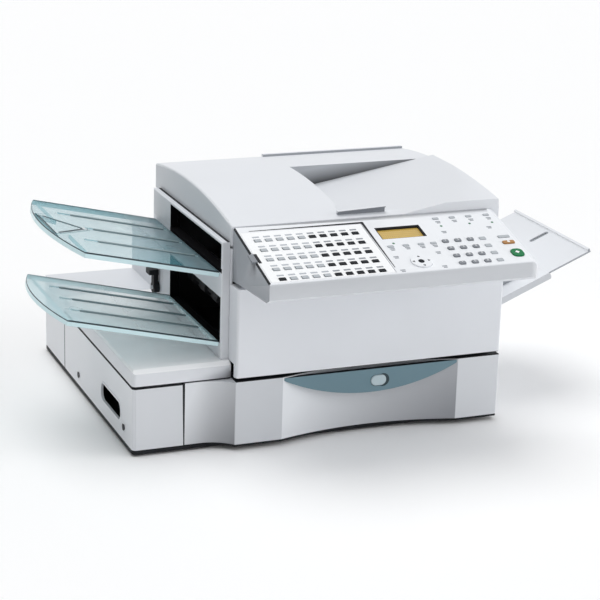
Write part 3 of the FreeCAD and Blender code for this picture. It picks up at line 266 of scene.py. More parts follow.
def plastic(name, look):
    # moulded plastic: fine spark texture, slow colour drift, uneven gloss
    finish = bpy.data.materials.new(name)
    finish.use_nodes = True
    tree = finish.node_tree
    shader = tree.nodes["Principled BSDF"]
    shader.inputs["Specular IOR Level"].default_value = look.get("shine", 0.5)
    place = tree.nodes.new("ShaderNodeTexCoord")
    drift = tree.nodes.new("ShaderNodeTexNoise")
    drift.inputs["Scale"].default_value = 9.0
    drift.inputs["Detail"].default_value = 4.0
    tone = tree.nodes.new("ShaderNodeMix")
    tone.data_type = "RGBA"
    colour = Vector(look["colour"])
    tone.inputs["A"].default_value = (*(colour * (1 - look["stain"])), 1)
    tone.inputs["B"].default_value = (*(colour * (1 + look["stain"])), 1)
    gloss = tree.nodes.new("ShaderNodeMapRange")
    gloss.inputs["To Min"].default_value = look["rough"] - 0.05
    gloss.inputs["To Max"].default_value = look["rough"] + 0.06
    spark = tree.nodes.new("ShaderNodeTexNoise")
    spark.inputs["Scale"].default_value = look["grain"]
    spark.inputs["Detail"].default_value = 2.0
    bump = tree.nodes.new("ShaderNodeBump")
    bump.inputs["Strength"].default_value = look["bump"]
    bump.inputs["Distance"].default_value = 0.0004
    link = tree.links.new
    link(place.outputs["Object"], drift.inputs["Vector"])
    link(place.outputs["Object"], spark.inputs["Vector"])
    link(drift.outputs["Fac"], tone.inputs["Factor"])
    link(tone.outputs["Result"], shader.inputs["Base Color"])
    link(drift.outputs["Fac"], gloss.inputs["Value"])
    link(gloss.outputs["Result"], shader.inputs["Roughness"])
    link(spark.outputs["Fac"], bump.inputs["Height"])
    link(bump.outputs["Normal"], shader.inputs["Normal"])
    return finish


finishes = {name: plastic(name, look) for name, look in plasticSet.items()}

steelSet = {
    "brushedSteel": {"colour": (0.55, 0.56, 0.58), "rough": 0.34, "streak": 420.0},
    "blackedSteel": {"colour": (0.12, 0.12, 0.13), "rough": 0.42, "streak": 420.0},
}


def brushedSteel(name, look):
    finish = bpy.data.materials.new(name)
    finish.use_nodes = True
    tree = finish.node_tree
    shader = tree.nodes["Principled BSDF"]
    shader.inputs["Metallic"].default_value = 1.0
    place = tree.nodes.new("ShaderNodeTexCoord")
    turn = tree.nodes.new("ShaderNodeMapping")
    turn.inputs["Scale"].default_value = (look["streak"], 12.0, look["streak"])
    grain = tree.nodes.new("ShaderNodeTexNoise")
    grain.inputs["Scale"].default_value = 1.0
    tone = tree.nodes.new("ShaderNodeMix")
    tone.data_type = "RGBA"
    colour = Vector(look["colour"])
    tone.inputs["A"].default_value = (*(colour * 0.9), 1)
    tone.inputs["B"].default_value = (*(colour * 1.1), 1)
    gloss = tree.nodes.new("ShaderNodeMapRange")
    gloss.inputs["To Min"].default_value = look["rough"] - 0.08
    gloss.inputs["To Max"].default_value = look["rough"] + 0.1
    link = tree.links.new
    link(place.outputs["Object"], turn.inputs["Vector"])
    link(turn.outputs["Vector"], grain.inputs["Vector"])
    link(grain.outputs["Fac"], tone.inputs["Factor"])
    link(tone.outputs["Result"], shader.inputs["Base Color"])
    link(grain.outputs["Fac"], gloss.inputs["Value"])
    link(gloss.outputs["Result"], shader.inputs["Roughness"])
    return finish


for name, look in steelSet.items():
    finishes[name] = brushedSteel(name, look)

screenSet = {"colour": (0.62, 0.42, 0.10), "cell": (0.50, 0.33, 0.075), "pitch": 190.0, "rough": 0.18}


def amberScreen(name, look):
    # back-lit character display: faint rows of cells in the amber
    finish = bpy.data.materials.new(name)
    finish.use_nodes = True
    tree = finish.node_tree
    shader = tree.nodes["Principled BSDF"]
    shader.inputs["Roughness"].default_value = look["rough"]
    place = tree.nodes.new("ShaderNodeTexCoord")
    cells = tree.nodes.new("ShaderNodeTexBrick")
    cells.offset = 0.0
    cells.inputs["Scale"].default_value = look["pitch"]
    cells.inputs["Color1"].default_value = (*look["cell"], 1)
    cells.inputs["Color2"].default_value = (*(Vector(look["cell"]) * 1.05), 1)
    cells.inputs["Mortar"].default_value = (*look["colour"], 1)
    cells.inputs["Mortar Size"].default_value = 0.12
    cells.inputs["Brick Width"].default_value = 0.55
    cells.inputs["Row Height"].default_value = 0.9
    tree.links.new(place.outputs["Object"], cells.inputs["Vector"])
    tree.links.new(cells.outputs["Color"], shader.inputs["Base Color"])
    return finish


finishes["screenAmber"] = amberScreen("screenAmber", screenSet)

glassSet = {"colour": (0.80, 0.90, 0.90), "rough": 0.03}


def sheetGlass(name, look):
    finish = bpy.data.materials.new(name)
    finish.use_nodes = True
    tree = finish.node_tree
    shader = tree.nodes["Principled BSDF"]
    shader.inputs["Base Color"].default_value = (*look["colour"], 1)
    shader.inputs["Transmission Weight"].default_value = 0.9
    smear = tree.nodes.new("ShaderNodeTexNoise")
    smear.inputs["Scale"].default_value = 30.0
    gloss = tree.nodes.new("ShaderNodeMapRange")
    gloss.inputs["To Min"].default_value = look["rough"]
    gloss.inputs["To Max"].default_value = look["rough"] + 0.08
    place = tree.nodes.new("ShaderNodeTexCoord")
    tree.links.new(place.outputs["Object"], smear.inputs["Vector"])
    tree.links.new(smear.outputs["Fac"], gloss.inputs["Value"])
    tree.links.new(gloss.outputs["Result"], shader.inputs["Roughness"])
    return finish


finishes["glass"] = sheetGlass("sheetGlass", glassSet)

traySet = {
    # upper tray: painted darker towards the machine as painted shade
    "trayTealAndShade": {
        "outer": (0.10, 0.38, 0.45), "inner": (0.10, 0.17, 0.20),
        "thin": 0.34, "dense": 0.56, "from": -110, "to": -5,
    },
    # lower tray: painted paler towards the machine as painted light
    "trayMistAndLight": {
        "outer": (0.50, 0.74, 0.79), "inner": (0.80, 0.95, 0.97),
        "thin": 0.44, "dense": 0.26, "from": -235, "to": -110,
    },
    "rough": 0.28,
}


def clearTeal(name, look):
    # see-through moulding whose clearness changes on the way into the machine; the upper tray's tone is
    # painted darker there as painted shade, the lower tray's paler as painted light
    tray = look[name]
    finish = bpy.data.materials.new(name)
    finish.use_nodes = True
    tree = finish.node_tree
    shader = tree.nodes["Principled BSDF"]
    place = tree.nodes.new("ShaderNodeTexCoord")
    axes = tree.nodes.new("ShaderNodeSeparateXYZ")
    run = tree.nodes.new("ShaderNodeMapRange")
    run.interpolation_type = "SMOOTHSTEP"
    run.inputs["From Min"].default_value = bodyCorner.x + tray["from"] * mm
    run.inputs["From Max"].default_value = bodyCorner.x + tray["to"] * mm
    cover = tree.nodes.new("ShaderNodeMapRange")
    cover.inputs["To Min"].default_value = tray["thin"]
    cover.inputs["To Max"].default_value = tray["dense"]
    tone = tree.nodes.new("ShaderNodeMix")
    tone.data_type = "RGBA"
    tone.inputs["A"].default_value = (*tray["outer"], 1)
    tone.inputs["B"].default_value = (*tray["inner"], 1)
    cloud = tree.nodes.new("ShaderNodeTexNoise")
    cloud.inputs["Scale"].default_value = 14.0
    gloss = tree.nodes.new("ShaderNodeMapRange")
    gloss.inputs["To Min"].default_value = look["rough"] - 0.05
    gloss.inputs["To Max"].default_value = look["rough"] + 0.08
    link = tree.links.new
    link(place.outputs["Object"], axes.inputs["Vector"])
    link(axes.outputs["X"], run.inputs["Value"])
    link(run.outputs["Result"], tone.inputs["Factor"])
    link(run.outputs["Result"], cover.inputs["Value"])
    link(cover.outputs["Result"], shader.inputs["Alpha"])
    link(tone.outputs["Result"], shader.inputs["Base Color"])
    link(place.outputs["Object"], cloud.inputs["Vector"])
    link(cloud.outputs["Fac"], gloss.inputs["Value"])
    link(gloss.outputs["Result"], shader.inputs["Roughness"])
    return finish


for name in ("trayTealAndShade", "trayMistAndLight"):
    finishes[name] = clearTeal(name, traySet)

fadeSet = {
    # the lid well's rear wall, painted from grey down to black as painted shade
    "pitWallShade": {
        "start": (0.50, 0.52, 0.55), "end": (0.008, 0.009, 0.010),
        "along": (0.125, 0, -1), "from": -307.5, "to": -281.5,
    },
    # the cassette's hollow, painted light at its left and dark at its right as painted light and shade
    "scoopLightShade": {
        "start": (0.76, 0.78, 0.81), "end": (0.31, 0.32, 0.345),
        "along": (1, 0, -1.1), "from": 30, "to": 330,
    },
    # the cassette's left wing, painted darker to its right as painted shade
    "wingShade": {
        "start": (0.78, 0.80, 0.83), "end": (0.28, 0.29, 0.31),
        "along": (1, 0, -0.5), "from": -98, "to": -5,
    },
    "rough": 0.5,
}


def fadeFinish(name, look):
    # tone painted to fall off along one direction, in millimetres from the body's corner, as painted light
    # and shade
    fade = look[name]
    finish = bpy.data.materials.new(name)
    finish.use_nodes = True
    tree = finish.node_tree
    shader = tree.nodes["Principled BSDF"]
    shader.inputs["Roughness"].default_value = look["rough"]
    place = tree.nodes.new("ShaderNodeTexCoord")
    reach = tree.nodes.new("ShaderNodeVectorMath")
    reach.operation = "DOT_PRODUCT"
    along = Vector(fade["along"])
    reach.inputs[1].default_value = along
    run = tree.nodes.new("ShaderNodeMapRange")
    run.inputs["From Min"].default_value = along.dot(bodyCorner) + fade["from"] * mm
    run.inputs["From Max"].default_value = along.dot(bodyCorner) + fade["to"] * mm
    tone = tree.nodes.new("ShaderNodeMix")
    tone.data_type = "RGBA"
    tone.inputs["A"].default_value = (*fade["start"], 1)
    tone.inputs["B"].default_value = (*fade["end"], 1)
    link = tree.links.new
    link(place.outputs["Object"], reach.inputs[0])
    link(reach.outputs["Value"], run.inputs["Value"])
    link(run.outputs["Result"], tone.inputs["Factor"])
    link(tone.outputs["Result"], shader.inputs["Base Color"])
    return finish


for name in ("pitWallShade", "scoopLightShade", "wingShade"):
    finishes[name] = fadeFinish(name, fadeSet)

slotFinish = {
    "housing": "housingGrey", "cassette_grey": "cassetteAndShadeGrey", "tray_grey": "trayGrey",
    "tray_teal": "trayTealAndShade", "handle_teal": "handleTeal", "leaf_white": "leafWhite",
    "keys_light": "keysLight", "keys_dark": "keysDark", "dial_keys": "dialAndShadeGrey",
    "start_green": "startGreen", "stop_amber": "stopAmber", "screen_amber": "screenAmber",
    "black_plastic": "blackPlasticAndShade", "glass": "glass", "tray_inner": "innerGrey", "steel": "brushedSteel",
    "roller_rubber": "rollerRubber", "gear_white": "gearWhite", "board_green": "boardGreen",
    "feet_rubber": "feetRubber", "screw_steel": "blackedSteel", "frame_black": "frameBlack",
}
slotOf = {row["node"]: row["material_slot"] for row in record["subparts"]}
for node, thing in frame["nodes"].items():
    thing.data.materials.clear()
    thing.data.materials.append(finishes[slotFinish[slotOf[node]]])
print("finishes made:", len(finishes))

# housings with softened edges, and faces painted lighter, darker or black as painted light and shade

trayRoot = -12.4
slotFront = 36.5
slotBack = 263.0
slotInner = 3.4
upperSlot = (256.5, 293.0)
lowerSlot = (149.0, 216.5)


def inSlots(c, n):
    # walls of the two paper slots on the left
    tall = upperSlot[0] < c.z < upperSlot[1] or lowerSlot[0] < c.z < lowerSlot[1]
    return tall and slotFront < c.y < slotBack and trayRoot < c.x < slotInner and abs(n.x) < 0.85


trayRise = {
    "document_tray": {"root": 252.8, "slope": 0.225},
    "print_tray": {"root": 152.3, "slope": 0.235},
}


def trayPlace(node):
    # a tray's upper face where it enters the machine
    rise = trayRise[node]
    tilt = Matrix.Rotation(math.atan(rise["slope"]), 4, "Y")
    return Matrix.Translation(spot(trayRoot, 0, rise["root"])) @ tilt


def trayLook(node):
    # dark outline painted as shade along the top edges and a bright rim painted as a highlight on the sides
    # of a see-through tray
    root, slope = trayRise[node]["root"], trayRise[node]["slope"]

    def above(c):
        return c.z - root + slope * (c.x - trayRoot)

    def inFlap(c):
        return node == "document_tray" and within(c, flapSpan)

    def isEdge(c, n):
        return -2.2 < above(c) < 0.12 and 0.2 < n.z < 0.94

    def isRim(c, n):
        return abs(n.z) < 0.3 and c.x < -2 and not inFlap(c)

    def isOutline(edge, c):
        return abs(above(c)) < 0.05 and edge.is_convex and not inFlap(c)

    paint = [("edgeShadeTeal", isEdge), ("rimHighlightAqua", isRim)]
    return {"width": 0.35, "broad": (1.9, isOutline), "outward": True, "paint": paint}


deckTop = bodySpot(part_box("deck_frame")[1]).z
deckFoot = bodySpot(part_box("deck_frame")[0]).z
deckLidFoot = bodySpot(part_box("deck_lid")[0]).z
cassetteTop = bodySpot(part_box("cassette_front")[1]).z
cassetteFoot = bodySpot(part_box("cassette_front")[0]).z
doorFoot = bodySpot(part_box("front_door")[0]).z
rearFoot = bodySpot(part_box("rear_housing")[0]).z
rearFront = bodySpot(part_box("rear_housing")[0]).y
deckFront = bodySpot(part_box("deck_frame")[0]).y
deckEnd = -141.0
cassetteSeam = -69.0
exitFace = -4.5
exitStrip = (251.5, 257.8)
exitFront = 34.0
exitBack = 262.8
exitTop = 294.0
coverRoom = (36.0, slotBack + 1)
# height of the black bands painted at the foot as the shadow under the machine
footShadeBand = 6.4
cassetteFootShade = 3.4
rearSeam = 4.2

# where the painted faces of the mouldings lie, in millimetres from the body's corner or on the panel's slope
lidWell = {"left": 170, "front": 252, "back": 256, "foot": 303}
lidLip = {"left": 160, "right": 235, "front": 37, "back": 43, "foot": 319.5}
lidRidge = {"front": 365, "foot": 328}
lidParting = 291.9
panelWindow = {"left": 199, "right": 269, "low": 87, "high": 120}
panelNose = -110
leafTab = {"left": 5.9, "right": 10.4, "low": 53.5, "high": 77.5}
scoopSpan = (70.5, 342.5)
flapSpan = {"left": -220, "right": -148, "front": 120, "back": 240}
darkCorner = {"right": 29.5, "high": 15}


def panelCut(v):
    # a cut across the panel at a height up its slope
    upSlope = Vector((0, math.cos(panelSlope), math.sin(panelSlope)))
    return panelFoot + upSlope * v, upSlope


def levelCut(z):
    # a level cut at a height
    return (0, 0, z), (0, 0, 1)


def within(c, region):
    # inside a box whose open sides are left out
    return (
        region.get("left", c.x - 1) < c.x < region.get("right", c.x + 1)
        and region.get("front", c.y - 1) < c.y < region.get("back", c.y + 1)
        and region.get("foot", c.z - 1) < c.z
    )


def onSlope(c, region):
    # inside a rectangle on the panel's slope
    v = panelSpot(spot(*c)).y
    return region["left"] < c.x < region["right"] and region["low"] < v < region["high"]


def onDeckSide(c):
    return c.x < deckEnd or c.y < deckFront + 2


housingSet = {
    "deck_frame": {
        "width": 1.0, "cuts": [levelCut(deckFoot + footShadeBand)],
        "broad": (2.0, lambda edge, c: (
            (c.z > deckTop - 0.1 and onDeckSide(c))
            or (abs(c.x - cassetteSeam) < 0.6 and c.y < deckFront + 1))),
        # painted light and shade: the front face darker, the left end paler, black seams under the lid and
        # beside the cassette, and a black band at the foot for the shadow under the machine
        "paint": [
            ("lightAndShadeGrey", lambda c, n: n.y < -0.9 and c.y < deckFront + 3),
            ("panelAndLitPale", lambda c, n: n.x < -0.9 and c.x < deckEnd),
            ("blackPlasticAndShade", lambda c, n: c.z > deckTop - 2.05 or c.z < deckFoot + footShadeBand),
            ("blackPlasticAndShade", lambda c, n: (
                -2.1 < c.x - cassetteSeam < 1.0 and c.y < deckFront + 9 and n.y > -0.96)),
        ],
    },
    "deck_lid": {
        "width": 1.0, "broad": (1.8, lambda edge, c: c.z < deckLidFoot + 0.1 and onDeckSide(c)),
        # the top painted paler as light where the trays' shadow falls, and a black seam along the foot as
        # painted shade
        "paint": [
            ("paintedLightPale", lambda c, n: n.z > 0.5),
            ("blackPlasticAndShade", lambda c, n: c.z < deckLidFoot + 1.85),
        ],
    },
    "rear_housing": {
        "width": 1.0,
        "cuts": [levelCut(rearFoot + footShadeBand), levelCut(deckTop), ((0, rearFront + rearSeam, 0), (0, 1, 0))],
        # the left end painted paler as light, a dark grey strip beside the seam with the deck as painted
        # shade, and a black band at the foot as painted shadow
        "paint": [
            ("panelAndLitPale", lambda c, n: n.x < -0.9 and c.x < deckEnd),
            ("dialAndShadeGrey", lambda c, n: c.x < deckEnd and c.y < rearFront + rearSeam and c.z < deckTop),
            ("blackPlasticAndShade", lambda c, n: c.z < rearFoot + footShadeBand),
        ],
    },
    "left_side_cover": {
        "width": 0.5, "cuts": [((0, y, 0), (0, 1, 0)) for y in coverRoom],
        # the slots' walls and the face between them painted black as the shade inside the slots
        "paint": [("slotShadeBlack", lambda c, n: (
            inSlots(c, n) or (c.x < 2 and coverRoom[0] < c.y < coverRoom[1])))],
    },
    "right_side_cover": {"width": 0.5},
    "exit_frame": {
        "width": 0.6,
        "cuts": [
            ((exitFace, 0, 0), (1, 0, 0)), levelCut(exitStrip[0]), levelCut(exitStrip[1]),
            ((0, exitBack, 0), (0, 1, 0)),
        ],
        # painted shade: black in the slots and on the strip below the upper slot, a black seam under the lid,
        # and darker outer faces
        "paint": [
            ("slotShadeBlack", lambda c, n: inSlots(c, n) or (
                exitFront < c.y < exitBack and exitStrip[0] < c.z < exitStrip[1] and c.x < exitFace + 0.5)),
            ("blackPlasticAndShade", lambda c, n: n.z > 0.5 and c.z > exitTop and c.x > exitFace),
            ("lightAndShadeGrey", lambda c, n: (
                (n.x < -0.95 and c.z > exitStrip[1]) or (n.y < -0.8 and c.y < exitFront + 2))),
        ],
    },
    "front_door": {
        "width": 1.0, "broad": (1.1, lambda edge, c: c.z < doorFoot + 0.1 and c.y < 5),
        # a black seam along the door's foot as painted shade
        "paint": [("blackPlasticAndShade", lambda c, n: c.z < doorFoot + 1.15)],
    },
    "document_lid": {
        "width": 1.0,
        "paint": [
            # painted shade: a darker left end, the well's rear wall fading to black, dark faces on the lift
            # lip and the ridge at the back, and a black parting line below
            ("lightAndShadeGrey", lambda c, n: n.x < -0.9 and c.x < 2),
            ("pitWallShade", lambda c, n: n.y < -0.6 and within(c, lidWell)),
            ("dialAndShadeGrey", lambda c, n: n.y < -0.5 and within(c, lidLip)),
            ("shadeGrey", lambda c, n: n.y < -0.4 and within(c, lidRidge)),
            ("blackPlasticAndShade", lambda c, n: c.z < lidParting),
        ],
    },
    "control_panel": {
        "width": 0.6,
        "broad": (2.4, lambda edge, c: c.x < 2.2 and panelSpot(spot(*c)).z > -0.2),
        "paint": [
            # paler slope; left end painted dark grey as painted shade, with a black line along its top edge;
            # back edge painted dark grey and front lip darker as painted shade; the screen's window walls
            # black as the shade in its recess
            ("panelAndLitPale", lambda c, n: n.z > 0.9 and panelSpot(spot(*c)).z > -0.4),
            ("shadeGrey", lambda c, n: n.x < -0.97 and c.x < 3),
            ("blackPlasticAndShade", lambda c, n: -0.97 <= n.x < -0.2 and c.x < 4.6 and n.z > 0.1),
            ("shadeGrey", lambda c, n: c.y > 27 and c.z > 315 and n.y > 0.2),
            ("cassetteAndShadeGrey", lambda c, n: c.y < panelNose and n.y < -0.8),
            ("blackPlasticAndShade", lambda c, n: n.z < 0.8 and onSlope(c, panelWindow)),
        ],
    },
    "cassette_front": {
        "width": 1.0, "cuts": [levelCut(cassetteFoot + cassetteFootShade)],
        "broad": (1.2, lambda edge, c: (
            (c.z > cassetteTop - 0.1 and c.y < deckFront + 3)
            or (c.x < cassetteSeam + 1 and c.y < deckFront + 1))),
        "paint": [
            # painted light and shade: the hollow fades from light at its left to dark at its right, the
            # slanted left wing darkens to its right, the flat right end is paler, and black bands in the
            # seams and at the foot stand for shade
            ("scoopLightShade", lambda c, n: scoopSpan[0] < c.x < scoopSpan[1] and n.y < -0.5),
            ("wingShade", lambda c, n: c.x < -1 and n.y < -0.5),
            ("lightAndShadeGrey", lambda c, n: c.x > scoopSpan[1] + 1 and n.y < -0.5),
            ("blackPlasticAndShade", lambda c, n: c.z > cassetteTop - 1.25 or c.z < cassetteFoot + cassetteFootShade),
            ("blackPlasticAndShade", lambda c, n: c.x < cassetteSeam + 1.6 and n.y > -0.96),
        ],
    },
    # the handle's top painted black as the shade in the seam under the door
    "cassette_handle": {"width": 1.4, "paint": [("blackPlasticAndShade", lambda c, n: n.z > 0.6)]},
    "cassette_button": {
        "width": 0.3, "broad": (1.8, lambda edge, c: c.y < 2),
        "paint": [("buttonTeal", lambda c, n: n.y < -0.3)],
    },
    "document_tray": trayLook("document_tray"),
    "print_tray": {**trayLook("print_tray"), "finish": "trayMistAndLight"},
    "document_stop": {
        "width": 0.9,
        # painted shade on the flap's bevels and a painted highlight on its tip
        "paint": [
            ("edgeShadeTeal", lambda c, n: 0.1 < n.z < 0.95),
            ("printAndHighlightWhite", lambda c, n: c.x > -160 and n.z > 0.2),
        ],
    },
    # the side tray's front face painted darker as painted shade
    "bypass_tray": {"width": 1.0, "paint": [("cassetteAndShadeGrey", lambda c, n: n.y < -0.8 and c.y < 80)]},
    "bypass_extension": {
        "width": 0.6,
        # the lip's inner face painted paler as light, the front face darker as painted shade
        "paint": [
            ("paintedLightPale", lambda c, n: n.x < -0.7 and c.x > 560),
            ("shadeGrey", lambda c, n: n.y < -0.8 and c.y < 90),
        ],
    },
    # the guides' front and back faces painted darker as painted shade
    "bypass_guide_front": {"width": 0.5, "paint": [("shadeGrey", lambda c, n: abs(n.y) > 0.5)]},
    "bypass_guide_rear": {"width": 0.5, "paint": [("shadeGrey", lambda c, n: abs(n.y) > 0.5)]},
    "one_touch_leaf": {
        "width": 0.35,
        "cuts": [
            ((leafTab["left"], 0, 0), (1, 0, 0)), ((leafTab["right"], 0, 0), (1, 0, 0)),
            panelCut(leafTab["low"]), panelCut(leafTab["high"]),
        ],
        "paint": [
            ("blackPlasticAndShade", lambda c, n: onSlope(c, leafTab)),
            # the leaf's left edge painted dark grey as painted shade
            ("dialAndShadeGrey", lambda c, n: c.x < leafTab["left"]),
        ],
    },
    "navigation_pad": {"width": 0.3, "finish": "panelAndLitPale"},
    "one_touch_keys_light": {
        "width": 0.35,
        "paint": [("keysDark", lambda c, n: (
            c.x < darkCorner["right"] and panelSpot(spot(*c)).y < darkCorner["high"]))],
    },
    "release_lever": {"width": 0.9},
    "toner_cartridge": {"width": 1.0},
    "panel_underside": {"width": 0.4},
}
bodyOf = {node: name for name, nodes in record["behaviour"]["bodies"].items() for node in nodes}


def sharpEdges(shape):
    return [edge for edge in shape.edges if edge.is_manifold and edge.calc_face_angle(0.0) > math.radians(32)]


def middle(edge):
    return bodySpot((edge.verts[0].co + edge.verts[1].co) / 2)


def soften(node, look):
    # a merged copy of the node whose sharp edges are broken, as a mould leaves them
    source = frame["nodes"][node]
    shape = bmesh.new()
    shape.from_mesh(source.data)
    bmesh.ops.remove_doubles(shape, verts=shape.verts, dist=2e-6)
    bmesh.ops.dissolve_limit(
        shape, angle_limit=math.radians(0.6), verts=shape.verts, edges=shape.edges,
        use_dissolve_boundaries=False,
    )
    shape.normal_update()
    narrow = sharpEdges(shape)
    if look.get("outward"):
        narrow = [edge for edge in narrow if edge.is_convex]
    if "broad" in look:
        width, wanted = look["broad"]
        broad = [edge for edge in narrow if wanted(edge, middle(edge))]
        chosen = set(broad)
        narrow = [edge for edge in narrow if edge not in chosen]
        bmesh.ops.bevel(
            shape, geom=broad, offset=width * mm, offset_type="OFFSET", segments=2, profile=0.5,
            affect="EDGES", clamp_overlap=False, material=-1,
        )
        narrow = [edge for edge in narrow if edge.is_valid]
    bmesh.ops.bevel(
        shape, geom=narrow, offset=look["width"] * mm, offset_type="OFFSET", segments=2, profile=0.5,
        affect="EDGES", clamp_overlap=True, material=-1,
    )
    for point, normal in look.get("cuts", []):
        every = shape.verts[:] + shape.edges[:] + shape.faces[:]
        bmesh.ops.bisect_plane(shape, geom=every, plane_co=spot(*point), plane_no=normal, dist=1e-6)
    mesh = bpy.data.meshes.new(node + "_skin")
    mesh.materials.append(finishes[look["finish"]] if "finish" in look else source.data.materials[0])
    shape.normal_update()
    for index, (finish, wanted) in enumerate(look.get("paint", []), 1):
        mesh.materials.append(finishes[finish])
        for face in shape.faces:
            if wanted(bodySpot(face.calc_center_median()), face.normal):
                face.material_index = index
    shape.to_mesh(mesh)
    shape.free()
    mesh.shade_smooth()
    mesh.set_sharp_from_angle(angle=math.radians(38))
    piece = bpy.data.objects.new(node + "_skin", mesh)
    bpy.context.scene.collection.objects.link(piece)
    evenOut = piece.modifiers.new("evenNormals", "WEIGHTED_NORMAL")
    evenOut.keep_sharp = True
    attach(piece, bodyOf[node])
    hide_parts(node)
    return piece


for node, look in housingSet.items():
    soften(node, look)
print("softened housings:", len(housingSet))

# printed captions, lamps and marks on the control panel

sink = 0.02  # how deep a mark sits in its face, in millimetres


def padMesh(length, width, height, corner):
    # a small plate with rounded corners, standing on its own base
    shape = bmesh.new()
    bmesh.ops.create_cube(shape, size=1.0)
    bmesh.ops.translate(shape, vec=(0, 0, 0.5), verts=shape.verts)
    bmesh.ops.scale(shape, vec=(length * mm, width * mm, height * mm), verts=shape.verts)
    upright = [edge for edge in shape.edges if abs(edge.verts[0].co.z - edge.verts[1].co.z) > 1e-6]
    bmesh.ops.bevel(
        shape, geom=upright, offset=corner * mm, offset_type="OFFSET", segments=3, profile=0.5,
        affect="EDGES", material=-1,
    )
    mesh = bpy.data.meshes.new("pad")
    shape.to_mesh(mesh)
    shape.free()
    return mesh


def discMesh(radius, height, sides, top):
    # a low frustum: an arrow head, a diamond or a round pad by its number of sides
    shape = bmesh.new()
    bmesh.ops.create_cone(
        shape, cap_ends=True, cap_tris=False, segments=sides, radius1=radius * mm, radius2=radius * top * mm,
        depth=height * mm,
    )
    bmesh.ops.translate(shape, vec=(0, 0, height * mm / 2), verts=shape.verts)
    mesh = bpy.data.meshes.new("disc")
    shape.to_mesh(mesh)
    shape.free()
    return mesh


def glyphMesh(text, size, thick):
    curve = bpy.data.curves.new("glyph", "FONT")
    curve.body = text
    curve.size = size * mm
    curve.align_x = "CENTER"
    curve.align_y = "CENTER"
    curve.extrude = thick * mm / 2
    curve.resolution_u = 3
    carrier = bpy.data.objects.new("glyph", curve)
    mesh = bpy.data.meshes.new_from_object(carrier)
    mesh.materials.clear()
    mesh.transform(Matrix.Translation((0, 0, thick * mm / 2)))
    bpy.data.objects.remove(carrier)
    bpy.data.curves.remove(curve)
    return mesh


def onPanel(u, v, w, turn=0.0):
    return panelPlace @ Matrix.Translation(Vector((u, v, w)) * mm) @ Matrix.Rotation(turn, 4, "Z")


def stamp(shape, mesh, place, index=0):
    # one more copy of a small mesh at its place in a piece
    firstVert = len(shape.verts)
    firstFace = len(shape.faces)
    shape.from_mesh(mesh)
    shape.verts.ensure_lookup_table()
    shape.faces.ensure_lookup_table()
    bmesh.ops.transform(shape, matrix=place, verts=shape.verts[firstVert:])
    for face in shape.faces[firstFace:]:
        face.material_index = index


def thicken(shape, way):
    # a flat sheet of faces made into a plate
    sheet = bmesh.ops.extrude_face_region(shape, geom=shape.faces[:])
    lifted = [item for item in sheet["geom"] if isinstance(item, bmesh.types.BMVert)]
    bmesh.ops.translate(shape, vec=way, verts=lifted)
    bmesh.ops.recalc_face_normals(shape, faces=shape.faces)


def finishPiece(name, shape, finishNames, body):
    bmesh.ops.remove_doubles(shape, verts=shape.verts, dist=1e-6)
    mesh = bpy.data.meshes.new(name)
    shape.to_mesh(mesh)
    shape.free()
    mesh.shade_smooth()
    mesh.set_sharp_from_angle(angle=math.radians(35))
    for finish in finishNames:
        mesh.materials.append(finishes[finish])
    piece = bpy.data.objects.new(name, mesh)
    bpy.context.scene.collection.objects.link(piece)
    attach(piece, body)
    return piece


leafMarkSet = {
    "columns": 10, "lightColumns": 5, "rows": 5, "u": 24.0, "v": 11.0, "pitchU": 16.0, "pitchV": 24.7,
    "above": 9.4, "length": 10.0, "width": 3.6, "thick": 0.12,
}


def leafCaptions(look):
    # a printed name bar above every one touch key
    shape = bmesh.new()
    bar = padMesh(look["length"], look["width"], look["thick"], 0.4)
    for column in range(look["columns"]):
        for row in range(look["rows"]):
            u = look["u"] + column * look["pitchU"]
            v = look["v"] + row * look["pitchV"] + look["above"]
            stamp(shape, bar, onPanel(u, v, -sink), 0 if column < look["lightColumns"] else 1)
    return finishPiece("leaf_captions", shape, ["printPale", "printAndShadeGrey"], "one_touch_leaf")


leafCaptions(leafMarkSet)

leafSeamSet = {
    "back": (20.0, 190.4, 135.6, 4.4), "side": (16.0, 137.6, 188.4, 4.0), "thin": 0.25, "thick": 0.2,
}


def leafSeam(look):
    # dark shadow gap behind and beside the leaf, widest at its right back corner
    shape = bmesh.new()
    start, end, v, width = look["back"]
    bar = padMesh(end - start, width, look["thick"], 0.05)
    for vert in bar.vertices:
        if vert.co.x < 0:
            vert.co.y *= look["thin"]
    stamp(shape, bar, onPanel((start + end) / 2, v, -sink))
    start, end, u, width = look["side"]
    bar = padMesh(width, end - start, look["thick"], 0.05)
    for vert in bar.vertices:
        if vert.co.y < 0:
            vert.co.x *= look["thin"]
    stamp(shape, bar, onPanel(u, (start + end) / 2, -sink))
    return finishPiece("leaf_seam", shape, ["blackPlasticAndShade"], "chassis")


leafSeam(leafSeamSet)

panelMarkSet = {
    "bars": [
        (300.0, 121.0), (326.0, 121.0), (352.0, 121.0), (380.0, 121.0), (297.4, 94.0), (369.5, 97.0),
        (204.0, 60.5), (227.0, 60.5), (250.0, 60.5), (269.0, 60.5), (200.8, 40.0), (265.6, 43.0),
        (196.5, 6.0), (259.5, 7.1),
    ],
    "lamps": [(300.0, 110.6), (345.0, 111.4), (380.0, 110.0), (211.4, 75.5)],
    "lines": [(7.6, 1.9), (5.8, -1.5)], "width": 2.4, "thick": 0.12, "lampRadius": 2.0,
}


